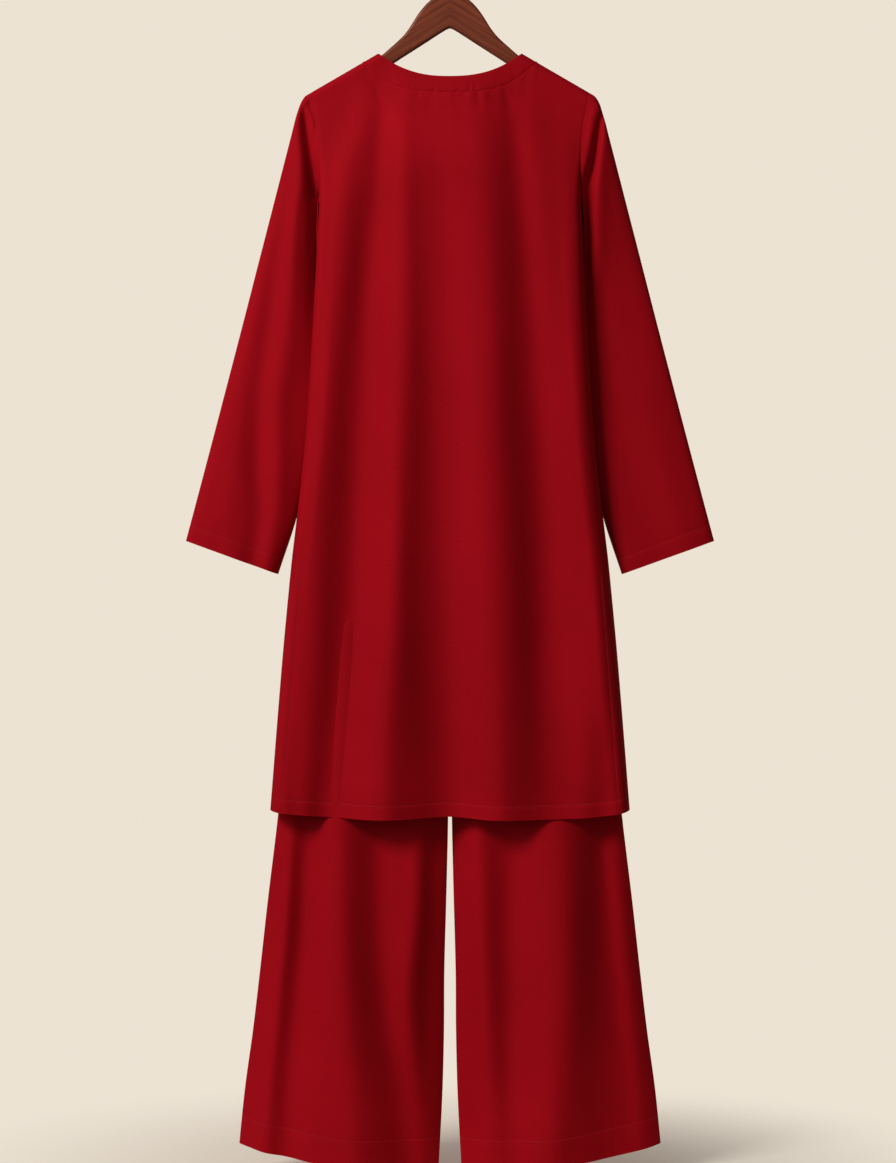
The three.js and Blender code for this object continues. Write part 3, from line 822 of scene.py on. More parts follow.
@dataclass
class BodyPanel(ClothPiece):
    """The kurta's back or front, from the neckband's seam and shoulders to the hem."""

    name: str
    surface: BodySurface
    cut: Cut
    columns: int = 180
    rows: int = 200
    tucks: tuple[Fold, ...] = ()
    hem_turn: float = 18.0
    slit_turn: float = 15.0
    seam_dip: float = 0.7
    band_dip: float = 0.9
    gathers: float = 0.35
    stitch_half: float = 240.0

    def __post_init__(self) -> None:
        """Faces the cloth outwards."""
        self.outward = self.surface.face.value
        self.end_pull = (0.5, 0.78)

    def form(self, across: Array, down: Array) -> Array:
        """Works out points of the outer face; see ClothPiece."""
        place = 2 * across - 1
        top_x = place * SHOULDER_END
        neck = self.surface.neck
        seam = neck_line(neck.seam, neck.seam_power, BAND_END, top_x) + BAND_LAP
        top = np.where(np.abs(top_x) >= BAND_END, shoulder_line(top_x), seam)
        low = self.surface.hem.at(place)
        z = mix(top, low, down)
        half = BODY_EDGE.at(mix(SHOULDER_LOW, HEM, down))
        x = place * half
        return self.surface.point(x, z, self.detail(x, z, z - low, (1 - np.abs(place)) * half, top - z))

    def detail(self, x: Array, z: Array, over_hem: Array, in_side: Array, under_top: Array) -> Array:
        """Sewn detail that stands out of the cloth, or dents it.

        Args:
            x: Places across.
            z: Heights.
            over_hem: Distances up from the hem's edge.
            in_side: Distances in from the side edge.
            under_top: Distances down from the top edge.

        Returns:
            How far the cloth stands out.
        """
        pucker = 1 + 0.5 * np.sin(x / 3.1) * np.sin(x / 7.3 + 1.0)
        hem = turned(over_hem, self.hem_turn, 0.55) + groove(over_hem - self.hem_turn) * pucker
        slit = turned(in_side, self.slit_turn, 0.45) + groove(in_side - self.slit_turn)
        slit = slit * smooth((SLIT_TOP - z) / 25.0)
        side = -self.seam_dip * np.exp(-in_side / 2.2) * smooth((z - SLIT_TOP) / 20.0)
        under_band = np.where(np.abs(x) < BAND_END, under_top, 2 * FAR)
        waves = np.sin(x / 3.4 + 0.7 * np.sin(x / 19.0)) + 0.6 * np.sin(x / 6.7 + 2.0)
        drawn = self.gathers * waves * np.exp(-under_band / 26.0) * smooth(under_band / 6.0)
        tucked = stand_out(self.tucks, x, under_band)
        band_dip = -self.band_dip * np.exp(-under_band / 1.8)
        return hem + slit + side + (drawn + tucked) + band_dip

    def wall_share(self, across: Array, down: Array) -> Array:
        """Thins the wall towards the shoulder and side seams; see ClothPiece."""
        place = np.abs(2 * across - 1)
        level = mix(SHOULDER_LOW, HEM, down)
        in_side = (1 - place) * BODY_EDGE.at(level)
        beside = np.where((level < ARMPIT) & (level > SLIT_TOP - 15.0), in_side, FAR)
        below = np.where(place * SHOULDER_END > BAND_END, down * (SHOULDER_LOW - HEM), FAR)
        return smooth(np.minimum(beside, below) / WALL_FADE)

    def stitch_rows(self) -> list[StitchRow]:
        """The hem's row and the two slit rows."""
        side = self.slit_turn / (2 * self.stitch_half)
        slit_start = (SHOULDER_LOW - SLIT_TOP + 12.0) / (SHOULDER_LOW - HEM)
        line = 1 - self.hem_turn / (SHOULDER_LOW - HEM)
        return [
            StitchRow((0.004, line), (0.996, line)),
            StitchRow((side, slit_start), (side, line)),
            StitchRow((1 - side, slit_start), (1 - side, line)),
        ]


@dataclass
class NeckBand(ClothPiece):
    """One half of the neckband: a folded strip along the neckline, proud of the body."""

    name: str
    surface: BodySurface
    cut: Cut
    puckers: tuple[Fold, ...] = ()
    columns: int = 240
    rows: int = 16
    thick: float = 2.2
    proud: float = 0.5

    def __post_init__(self) -> None:
        """Faces the cloth outwards."""
        self.outward = self.surface.face.value
        self.end_pull = (0.7, 0.3)

    def form(self, across: Array, down: Array) -> Array:
        """Works out points of the outer face; see ClothPiece."""
        place = 2 * across - 1
        neck = self.surface.neck
        x = mix(NECK_HALF, BAND_END, down) * place
        high = neck_line(neck.edge, neck.edge_power, NECK_HALF, place * NECK_HALF)
        low = neck_line(neck.seam, neck.seam_power, BAND_END, place * BAND_END)
        z = mix(high, low, down)
        from_seam = (1 - down) * (high - low)
        pucker = 0.22 * np.sin(x / 2.9 + 0.8 * np.sin(x / 13.0)) * np.exp(-from_seam / 5.0)
        pucker = pucker + stand_out(self.puckers, x, from_seam)
        ends = smooth((1 - np.abs(place)) * 14.0)
        crown = self.proud * (1 - (2 * down - 1) ** 4) - 0.55 * np.exp(-from_seam / 1.5)
        return self.surface.point(x, z, (crown + pucker) * ends)


@dataclass
class Sleeve(ClothPiece):
    """A straight long sleeve, hung from its armhole, with a turned cuff edge."""

    name: str
    side: Side
    folds: tuple[Fold, ...]
    head_folds: tuple[Fold, ...]
    cut: Cut = Cut(300.0, 640.0, 0.93)
    columns: int = 120
    rows: int = 110
    cuff_turn: float = 18.0
    ripple: Ripple = Ripple(0.45)
    tube: bool = True
    rings: Table = Table((
        (0, SHOULDER_END, SHOULDER_LOW, ARMPIT_HALF, ARMPIT, 0, 30),
        (0.02, 195.5, -197.5, 177.0, -350, 1, 30),
        (0.05, 203, -212, 177.4, -363, 4, 30),
        (0.13, 213.5, -252, 178.2, -396, 8, 28),
        (0.24, 229.5, -313, 177, -443, 11, 26),
        (0.4, 253, -403, 172, -510, 14, 24),
        (0.57, 279, -504, 177, -581, 15, 24),
        (0.73, 305, -604, 187.5, -667, 15, 25),
        (0.87, 330, -700, 205, -755, 13, 26),
        (1, 354.3, -793, 231.5, -837.4, 10, 28),
    ))
    power: float = 0.3
    head_share: float = 0.2
    long: float = 620.0
    wide: float = 130.0
    front_folds: float = 0.6

    def __post_init__(self) -> None:
        """Faces the cloth outwards and spaces the rings."""
        self.outward = self.side.value
        self.end_pull = (0.0, 0.7)

    def form(self, across: Array, down: Array) -> Array:
        """Works out points of the outer face; see ClothPiece."""
        turn = 2 * math.pi * across
        outer_x, outer_z, inner_x, inner_z, middle, half = (self.rings.at(down, n) for n in range(1, 7))
        place = (1 - np.cos(turn)) / 2
        back = np.sin(turn) >= 0
        facing = np.where(back, -1.0, 1.0)
        loose = smooth(down / self.head_share)
        armhole_z = mix(SHOULDER_LOW, ARMPIT, place)
        head_x = BODY_EDGE.at(armhole_z) - ARMHOLE_LAP
        bend = (head_x - mix(SHOULDER_END, ARMPIT_HALF, place)) * (1 - loose)
        x = mix(outer_x, inner_x, place) + bend
        z = mix(outer_z, inner_z, place)
        lens = np.abs(np.sin(turn)) ** self.power
        uneven = DRAPE * stand_out(self.folds, place * 100.0, down * 100.0)
        uneven = np.where(back, uneven, self.front_folds * uneven) + self.ripple.at(place * self.wide, z)
        free = middle + facing * (half * lens + uneven * lens)
        head = facing * edge_depth(armhole_z) * (np.abs(np.sin(turn)) > 1e-9)
        from_cuff = (1 - down) * self.long
        cuff = turned(from_cuff, self.cuff_turn, 0.5) + groove(from_cuff - self.cuff_turn)
        seam = -0.8 * np.exp(-down * self.long / 2.4)
        from_seam = x - BODY_EDGE.at(z)
        soft = stand_out(self.head_folds, from_seam, z) * smooth(lens * 2.0)
        y = mix(head, free, loose) + facing * ((cuff + seam) * smooth(lens * 6.0) + soft)
        return np.stack((self.side.value * x, y, z), axis=1)

    def stitch_rows(self) -> list[StitchRow]:
        """The row round the cuff."""
        line = 1 - self.cuff_turn / self.long
        return [StitchRow((0.004, line), (0.996, line))]


@dataclass
class Kurta:
    """The kurta: back, front, two sleeves and the two halves of the neckband."""

    back_hem: Table = Table((
        (-1, HEM),
        (-0.93, -1156.5),
        (-0.55, -1163),
        (-0.28, -1163.5),
        (0, -1161),
        (0.24, -1164.5),
        (0.7, -1163.2),
        (0.93, -1157.5),
        (1, HEM),
    ))
    front_hem: Table = Table((
        (-1, HEM),
        (-0.9, -1158),
        (-0.4, -1164),
        (0.1, -1162),
        (0.5, -1164.5),
        (0.9, -1158),
        (1, HEM),
    ))
    back_folds: tuple[Fold, ...] = (
        *folds_at(
            (-225, -309, -497, -711, -926, -1160),
            ((-118, 2.0, 10), (-138, 3.5, 14), (-154, 4.5, 18), (-174, 5.0, 18), (-182, 3.8, 18),
             (-192, 3.5, 14)),
            ((-90, -3.5, 10), (-94, -5.0, 14), (-112, -6.8, 19), (-120, -8.2, 21), (-133, -8.5, 23),
             (-166, -5.5, 20)),
            ((-62, 2.5, 12), (-62, 4.0, 15), (-64, 6.8, 18), (-71, 9.5, 20), (-79, 12.0, 22),
             (-92, 13.5, 26)),
            ((-24, -1.0, 18), (-18, -2.0, 22), (-12, -4.5, 24), (-8, -7.5, 26), (-8, -10.0, 27),
             (2, -14.0, 29)),
            ((40, 1.5, 18), (44, 2.5, 20), (51, 4.5, 23), (58, 6.5, 25), (66, 8.5, 26), (68, 8.0, 27)),
            ((84, -3.0, 12), (90, -4.5, 15), (105, -6.0, 19), (117, -7.0, 21), (127, -6.5, 22),
             (134, -1.8, 22)),
            ((164, 1.0, 14), (172, 2.5, 16), (182, 6.5, 24), (194, 8.5, 26), (206, 7.5, 26), (184, 1.6, 22)),
        ),
        Fold(((-225, 112, 0.8, 12), (-309, 122, 0.5, 16), (-400, 140, 0.0, 16))),
        Fold(((-960, 196, 0.0, 12), (-1160, 202, -2.0, 14))),
        Fold(((-900, 222, 0.0, 12), (-1160, 230, 4.0, 12))),
        Fold(((-900, -222, 0.0, 10), (-1160, -226, 3.0, 10))),
    )
    front_folds: tuple[Fold, ...] = (
        Fold(((-290, -96, -1.0, 16), (-600, -112, -3.5, 20), (-1150, -150, -8.0, 20))),
        Fold(((-290, -54, 1.0, 22), (-700, -70, 3.5, 26), (-1150, -92, 5.0, 26))),
        Fold(((-290, -10, -1.0, 18), (-700, -14, -4.5, 20), (-1150, -22, -9.0, 20))),
        Fold(((-290, 32, 1.0, 24), (-700, 42, 3.0, 26), (-1150, 48, 5.0, 26))),
        Fold(((-290, 82, -1.0, 18), (-700, 102, -4.0, 20), (-1150, 106, -9.0, 20))),
        Fold(((-290, 124, 1.0, 18), (-700, 148, 3.0, 20), (-1150, 164, 6.0, 18))),
    )
    tucks: tuple[Fold, ...] = (
        Fold(((0, -66, -0.4, 2.4), (8, -66, -0.6, 2.6), (24, -67, 0.0, 3.0))),
        Fold(((0, -42, -0.5, 2.0), (7, -42, -0.7, 2.2), (20, -43, 0.0, 2.8))),
        Fold(((0, -21, -0.4, 1.8), (4, -21, -0.5, 2.0), (12, -21, 0.0, 2.4))),
        Fold(((0, -12, -0.7, 1.8), (5, -12, -0.9, 2.0), (18, -13, 0.0, 2.6))),
        Fold(((0, 6, -0.6, 1.8), (7, 6, -1.0, 2.1), (26, 8, 0.0, 3.0))),
        Fold(((0, 19, -0.5, 1.8), (5, 19, -0.6, 2.0), (14, 20, 0.0, 2.4))),
        Fold(((0, 37, -0.8, 2.0), (9, 37, -1.3, 2.4), (34, 39, 0.0, 3.4))),
        Fold(((0, 54, -0.5, 2.0), (6, 54, -0.7, 2.2), (22, 55, 0.0, 2.8))),
        Fold(((0, 72, -0.5, 2.4), (10, 73, -1.2, 3.0), (30, 77, -1.2, 4.5), (52, 82, 0.0, 6.0))),
        Fold(((10, -99, 0.0, 4.0), (26, -99, -1.4, 5.0), (48, -95, 0.0, 8.0))),
    )
    band_puckers: tuple[Fold, ...] = (
        Fold(((0, -21, -0.9, 1.3), (4, -21, -0.5, 1.5), (8, -21, 0.0, 1.6))),
        Fold(((0, -18, 0.5, 1.4), (4, -18, 0.3, 1.6), (7, -18, 0.0, 1.6))),
        Fold(((0, 26, -0.9, 1.4), (8, 26, -0.7, 1.6), (17, 27, 0.0, 2.0))),
        Fold(((0, 34, -0.9, 1.4), (8, 34, -0.6, 1.6), (15, 34, 0.0, 2.0))),
        Fold(((0, 62, -0.5, 1.6), (6, 62, -0.4, 1.8), (12, 62, 0.0, 2.0))),
        Fold(((0, -52, -0.4, 1.6), (5, -52, -0.4, 1.8), (11, -52, 0.0, 2.0))),
    )
    left_head_folds: tuple[Fold, ...] = (
        Fold(((-205, 13, 0.0, 3.2), (-220, 14, -5.0, 3.8), (-250, 15, -9.0, 5.0), (-280, 12, -12.0, 6.0),
              (-305, 8, -16.0, 7.0), (-340, 2, -18.0, 8.5), (-370, -1, -18.0, 8.5), (-410, -2, -16.0, 8.5),
              (-460, -3, -11.0, 8.0), (-530, -4, -4.0, 7.0), (-600, -4, 0.0, 7.0))),
        Fold(((-198, 4, 0.0, 2.6), (-208, 5, -2.0, 2.6), (-222, 3, -2.2, 2.6), (-236, 2, -2.2, 2.6),
              (-256, 6, -2.4, 2.6), (-276, 9, 0.0, 2.6))),
        Fold(((-205, 26, 0.0, 6.0), (-230, 27, 2.0, 6.5), (-275, 28, 3.5, 7.0), (-330, 26, 3.0, 8.0),
              (-400, 26, 1.2, 10.0), (-440, 26, 0.0, 10.0))),
    )
    right_head_folds: tuple[Fold, ...] = (
        Fold(((-208, 22, 0.0, 2.8), (-222, 23, -5.0, 3.0), (-250, 22, -8.0, 3.2), (-282, 19, -11.0, 3.8),
              (-305, 14, -12.0, 5.0), (-340, 8, -12.0, 5.0), (-400, 4, -9.0, 5.0), (-450, 2, -5.0, 5.0),
              (-520, 0, 0.0, 6.0))),
        Fold(((-205, 10, 0.0, 3.0), (-220, 11, 1.6, 3.5), (-250, 11, 2.0, 4.0), (-280, 8, 1.2, 4.0),
              (-305, 5, 0.0, 4.0))),
        Fold(((-212, 32, 0.0, 5.0), (-240, 32, 1.5, 6.0), (-300, 26, 2.5, 6.5), (-400, 20, 2.5, 7.0),
              (-460, 18, 0.0, 8.0))),
    )
    left_sleeve_folds: tuple[Fold, ...] = (
        Fold(((30, 10, 0.0, 10), (60, 14, 1.2, 12), (80, 24, 2.0, 13), (100, 40, 2.5, 14))),
        Fold(((20, 18, 0.0, 9), (43, 24, -1.6, 10), (69, 40, -3.0, 11), (82, 53, -4.5, 11),
              (89, 67, -4.5, 10), (100, 76, -2.5, 9))),
        Fold(((12, 38, 0.0, 11), (22, 40, 2.4, 11), (33, 46, 3.6, 12), (54, 57, 4.2, 12), (67, 57, 4.6, 12),
              (82, 72, 5.2, 10), (100, 88, 4.0, 8))),
        Fold(((92, 30, 0.0, 5), (100, 34, -1.2, 6))),
        Fold(((93, 52, 0.0, 5), (100, 56, 1.2, 6))),
    )
    right_sleeve_folds: tuple[Fold, ...] = (
        Fold(((0, 34, 0.0, 16), (60, 34, 0.8, 16), (100, 30, 1.6, 16))),
        Fold(((0, 60, 0.0, 14), (60, 62, -0.8, 15), (100, 60, -2.0, 15))),
    )

    def build(self, finishes: Finishes) -> None:
        """Builds every piece.

        Args:
            finishes: The set's materials.
        """
        back_neck = NeckCut(edge=-172.0, edge_power=2.4, seam=-193.6, seam_power=3.1)
        front_neck = NeckCut(edge=-227.0, edge_power=2.2, seam=-248.0, seam_power=2.4)
        back = BodySurface(Face.BACK, BACK_DEPTH, BACK_POWER, back_neck, self.back_hem, self.back_folds)
        front = BodySurface(
            Face.FRONT, FRONT_DEPTH, FRONT_POWER, front_neck, self.front_hem, self.front_folds,
        )
        panels = (
            BodyPanel("kurta_back", back, Cut(520.0, 1030.0, 0.88), tucks=self.tucks),
            BodyPanel("kurta_front", front, Cut(520.0, 1030.0, 0.85), columns=140, rows=160),
        )
        for panel in panels:
            panel.build(finishes.cloth)
            panel.sew(panel.name.replace("kurta", "stitches"), panel.stitch_rows(), finishes.thread)
        NeckBand("neck_band_back", back, Cut(250.0, 44.0, 0.5), self.band_puckers).build(finishes.cloth)
        NeckBand("neck_band_front", front, Cut(330.0, 44.0, 0.5)).build(finishes.cloth)
        sides = (
            (Side.LEFT, self.left_sleeve_folds, self.left_head_folds),
            (Side.RIGHT, self.right_sleeve_folds, self.right_head_folds),
        )
        for side, folds, head_folds in sides:
            sleeve = Sleeve(f"sleeve_{side.name.lower()}", side, folds, head_folds)
            sleeve.build(finishes.cloth)
            sleeve.sew(f"stitches_cuff_{side.name.lower()}", sleeve.stitch_rows(), finishes.thread)


# Trousers


LEG_SIZES = Table((
    (WAIST_TOP, 161, 0, 24),
    (-700, 179, 0, 25),
    (CROTCH, 203, 0, 25),
    (-1000, 214, 1, 25),
    (-1167, 231.5, 2.5, 26),
    (-1275, 244.5, 5, 33),
    (-1369, 255, 7.5, 40),
    (-1449, 264.4, 8, 44),
    (-1530, 275.5, 10, 47),
    (TROUSER_HEM - TROUSER_HEM_DROP, 285.5, 15, 49),
))
LEG_POWER = 0.8


def leg_point(side: Side, face: Face, across: Array, z: Array, raised: Array | float = 0.0) -> Array:
    """Points of the trousers' outer face.

    Args:
        side: Which leg.
        face: Its back or its front.
        across: Places from the outer seam, 0, to the inner one, 1.
        z: Heights.
        raised: How far folds and detail stand out.

    Returns:
        The points, a row each.
    """
    down = np.clip((CROTCH + CROTCH_CURVE - z) / CROTCH_CURVE, 0.0, 1.0)
    standing = np.sqrt(1 - down * down) ** (1 / LEG_POWER)
    half_turn = math.pi - np.arcsin(standing)
    lens = np.maximum(np.sin(half_turn * across), 0.0) ** LEG_POWER
    inner = np.maximum(LEG_SIZES.at(z, 2), 0.0)
    x = mix(LEG_SIZES.at(z, 1), inner, across) * side.value
    y = face.value * np.maximum(LEG_SIZES.at(z, 3) * lens + raised, 0.0)
    return np.stack((x, y, z), axis=1)


@dataclass
class LegPanel(ClothPiece):
    """The back or front of one trouser leg, from the waistband's seam to the hem."""

    name: str
    side: Side
    face: Face
    folds: tuple[Fold, ...]
    cut: Cut = Cut(310.0, 1045.0, 0.84)
    columns: int = 90
    rows: int = 150
    hem_turn: float = 36.0
    seam_dip: float = 0.6
    ripple: Ripple = Ripple(0.5)
    width: float = 250.0
    waist_fade: float = 400.0
    carrier: str = "hanger_bar"

    def __post_init__(self) -> None:
        """Faces the cloth outwards."""
        self.outward = -self.side.value * self.face.value
        self.end_pull = (0.45, 0.6)

    def form(self, across: Array, down: Array) -> Array:
        """Works out points of the outer face; see ClothPiece."""
        level = mix(WAIST_SEAM, TROUSER_HEM, down)
        sunk = TROUSER_HEM_DROP * (1 - (1 - np.clip(across, 0, 1)) ** 2.2)
        grown = smooth((CROTCH - level) / (CROTCH - TROUSER_HEM))
        z = level - sunk * grown
        x = leg_point(self.side, self.face, across, z)[:, 0]
        within = np.clip(across, 0, 1)
        fade = smooth((WAIST_SEAM - z) / self.waist_fade) * smooth(np.sin(math.pi * within) * 2.2)
        uneven = (DRAPE * stand_out(self.folds, x, z) + self.ripple.at(x, z)) * fade
        from_hem = (1 - down) * (WAIST_SEAM - TROUSER_HEM)
        hem = turned(from_hem, self.hem_turn, 0.5) + groove(from_hem - self.hem_turn)
        outer, inner = (np.exp(-share * self.width / 2.0) for share in (across, 1 - across))
        seams = -self.seam_dip * (outer + inner)
        return leg_point(self.side, self.face, across, z, uneven + hem + seams)

    def wall_share(self, across: Array, down: Array) -> Array:
        """Thins the wall towards the outer and inner seams; see ClothPiece."""
        return smooth(np.minimum(across, 1 - across) * self.width / WALL_FADE)

    def stitch_rows(self) -> list[StitchRow]:
        """The hem's row."""
        line = 1 - self.hem_turn / (WAIST_SEAM - TROUSER_HEM)
        return [StitchRow((0.006, line), (0.994, line))]


@dataclass
class WaistBand(ClothPiece):
    """The elastic waistband: a folded tube with shallow gathers."""

    name: str = "waistband"
    cut: Cut = Cut(720.0, 40.0, 1.0, "gathered")
    columns: int = 260
    rows: int = 12
    thick: float = 2.2
    tube: bool = True
    outward: int = -1
    end_pull: tuple[float, float] = (0.0, 0.5)
    gathers: int = 58
    carrier: str = "hanger_bar"

    def form(self, across: Array, down: Array) -> Array:
        """Works out points of the outer face; see ClothPiece."""
        z = mix(WAIST_TOP, WAIST_SEAM, down)
        quarter = np.clip((across * 4).astype(int), 0, 3)
        within = across * 4 - quarter
        share = np.where(quarter % 2 == 0, within, 1 - within)
        gather = 0.5 * np.sin(across * 2 * math.pi * self.gathers)
        gather = gather * smooth(share * 8) * smooth((1 - down) * 4 + 0.2)
        points = np.zeros((len(across), 3))
        corners = (
            (Side.LEFT, Face.BACK),
            (Side.RIGHT, Face.BACK),
            (Side.RIGHT, Face.FRONT),
            (Side.LEFT, Face.FRONT),
        )
        for number, (side, face) in enumerate(corners):
            here = quarter == number
            points[here] = leg_point(side, face, share[here], z[here], gather[here])
        points[:, 0] = np.where(share > 0.9999, 0.0, points[:, 0])
        points[:, 1] = np.where(share < 0.0001, 0.0, points[:, 1])
        return points


@dataclass
class HangingLoop(ClothPiece):
    """A tape over the trouser bar, with both ends sewn inside the waistband."""

    name: str
    middle: float
    cut: Cut = Cut(10.0, 760.0, 0.8)
    columns: int = 8
    rows: int = 220
    thick: float = 0.8
    wide: float = 8.0
    low: float = WAIST_SEAM + 6.0
    spread: float = 12.4
    clear: float = 1.0
    outward: int = -1
    end_pull: tuple[float, float] = (0.0, 0.0)
    carrier: str = "hanger_bar"

    def form(self, across: Array, down: Array) -> Array:
        """Works out points of the outer face; see ClothPiece."""
        radius = BAR_RADIUS + self.clear
        straight = BAR_Z - self.low
        bend = math.pi * radius
        length = 2 * straight + bend
        gone = down * length
        turn = np.clip((gone - straight) / radius, 0.0, math.pi)
        after = np.clip((gone - straight - bend) / straight, 0, 1)
        leg = np.where(gone < straight, 1 - gone / straight, after)
        side = np.where(gone < length / 2, -1.0, 1.0)
        y = -radius * np.cos(turn) + side * leg * (self.spread - radius)
        z = BAR_Z + radius * np.sin(turn) - leg * straight
        x = self.middle + (across - 0.5) * self.wide
        return np.stack((x, y, z), axis=1)


@dataclass
class Trousers:
    """The wide trousers: four panels, the waistband and its two hanging loops."""

    loop_at: float = 100.0
    folds: dict[str, tuple[Fold, ...]] = field(default_factory=lambda: {
        "back_left": folds_at(
            (-1000, -1275, -1409, -1543, -1620),
            ((-210, 2.0, 11), (-221, 6.0, 12), (-232, 6.5, 12), (-243, 6.0, 13), (-250, 5.0, 13)),
            ((-182, -3.0, 13), (-191, -8.5, 16), (-202, -8.5, 17), (-213, -8.0, 18), (-216, -7.0, 18)),
            ((-146, 3.0, 20), (-146, 7.5, 21), (-142, 7.5, 21), (-128, 7.0, 23), (-122, 6.0, 24)),
            ((-96, -3.0, 18), (-98, -8.0, 19), (-90, -8.0, 18), (-64, -6.0, 20), (-58, -5.0, 20)),
            ((-40, 2.5, 13), (-44, 6.5, 13), (-54, 6.5, 13), (-44, 2.5, 13), (-36, 2.0, 13)),
        ),
        "back_right": folds_at(
            (-1000, -1275, -1409, -1543, -1620),
            ((34, 2.5, 13), (40, 6.0, 14), (44, 5.5, 14), (52, 4.0, 15), (58, 3.0, 18)),
            ((84, -3.0, 17), (84, -8.0, 18), (86, -8.0, 17), (84, -5.5, 17), (86, -4.0, 18)),
            ((152, 3.0, 22), (150, 7.0, 22), (150, 7.5, 22), (140, 7.0, 24), (126, 6.0, 24)),
            ((202, -3.0, 16), (205, -7.5, 18), (211, -7.5, 21), (216, -7.5, 27), (216, -7.0, 28)),
            ((222, 1.5, 10), (237, 3.0, 11), (250, 2.5, 12), (262, 1.5, 12), (268, 1.5, 12)),
        ),
        "front_left": folds_at(
            (-1000, -1601),
            ((-188, -1.5, 16), (-206, -7.0, 18)),
            ((-140, 1.5, 20), (-146, 5.0, 20)),
            ((-76, -1.5, 18), (-84, -7.0, 20)),
        ),
        "front_right": folds_at(
            (-1000, -1601),
            ((70, -1.5, 18), (76, -7.0, 20)),
            ((124, 1.5, 20), (130, 5.0, 20)),
            ((176, -1.5, 16), (196, -7.0, 18)),
        ),
    })

    def build(self, finishes: Finishes) -> None:
        """Builds every piece.

        Args:
            finishes: The set's materials.
        """
        for face in Face:
            for side in Side:
                key = f"{face.name}_{side.name}".lower()
                panel = LegPanel(f"trouser_{key}", side, face, self.folds[key])
                panel.build(finishes.cloth)
                panel.sew(f"stitches_hem_{key}", panel.stitch_rows(), finishes.thread)
        WaistBand().build(finishes.cloth)
        for side in Side:
            loop = HangingLoop(f"hanging_loop_{side.name.lower()}", side.value * self.loop_at)
            loop.build(finishes.tape, Slot.TAPE)


# Hanger


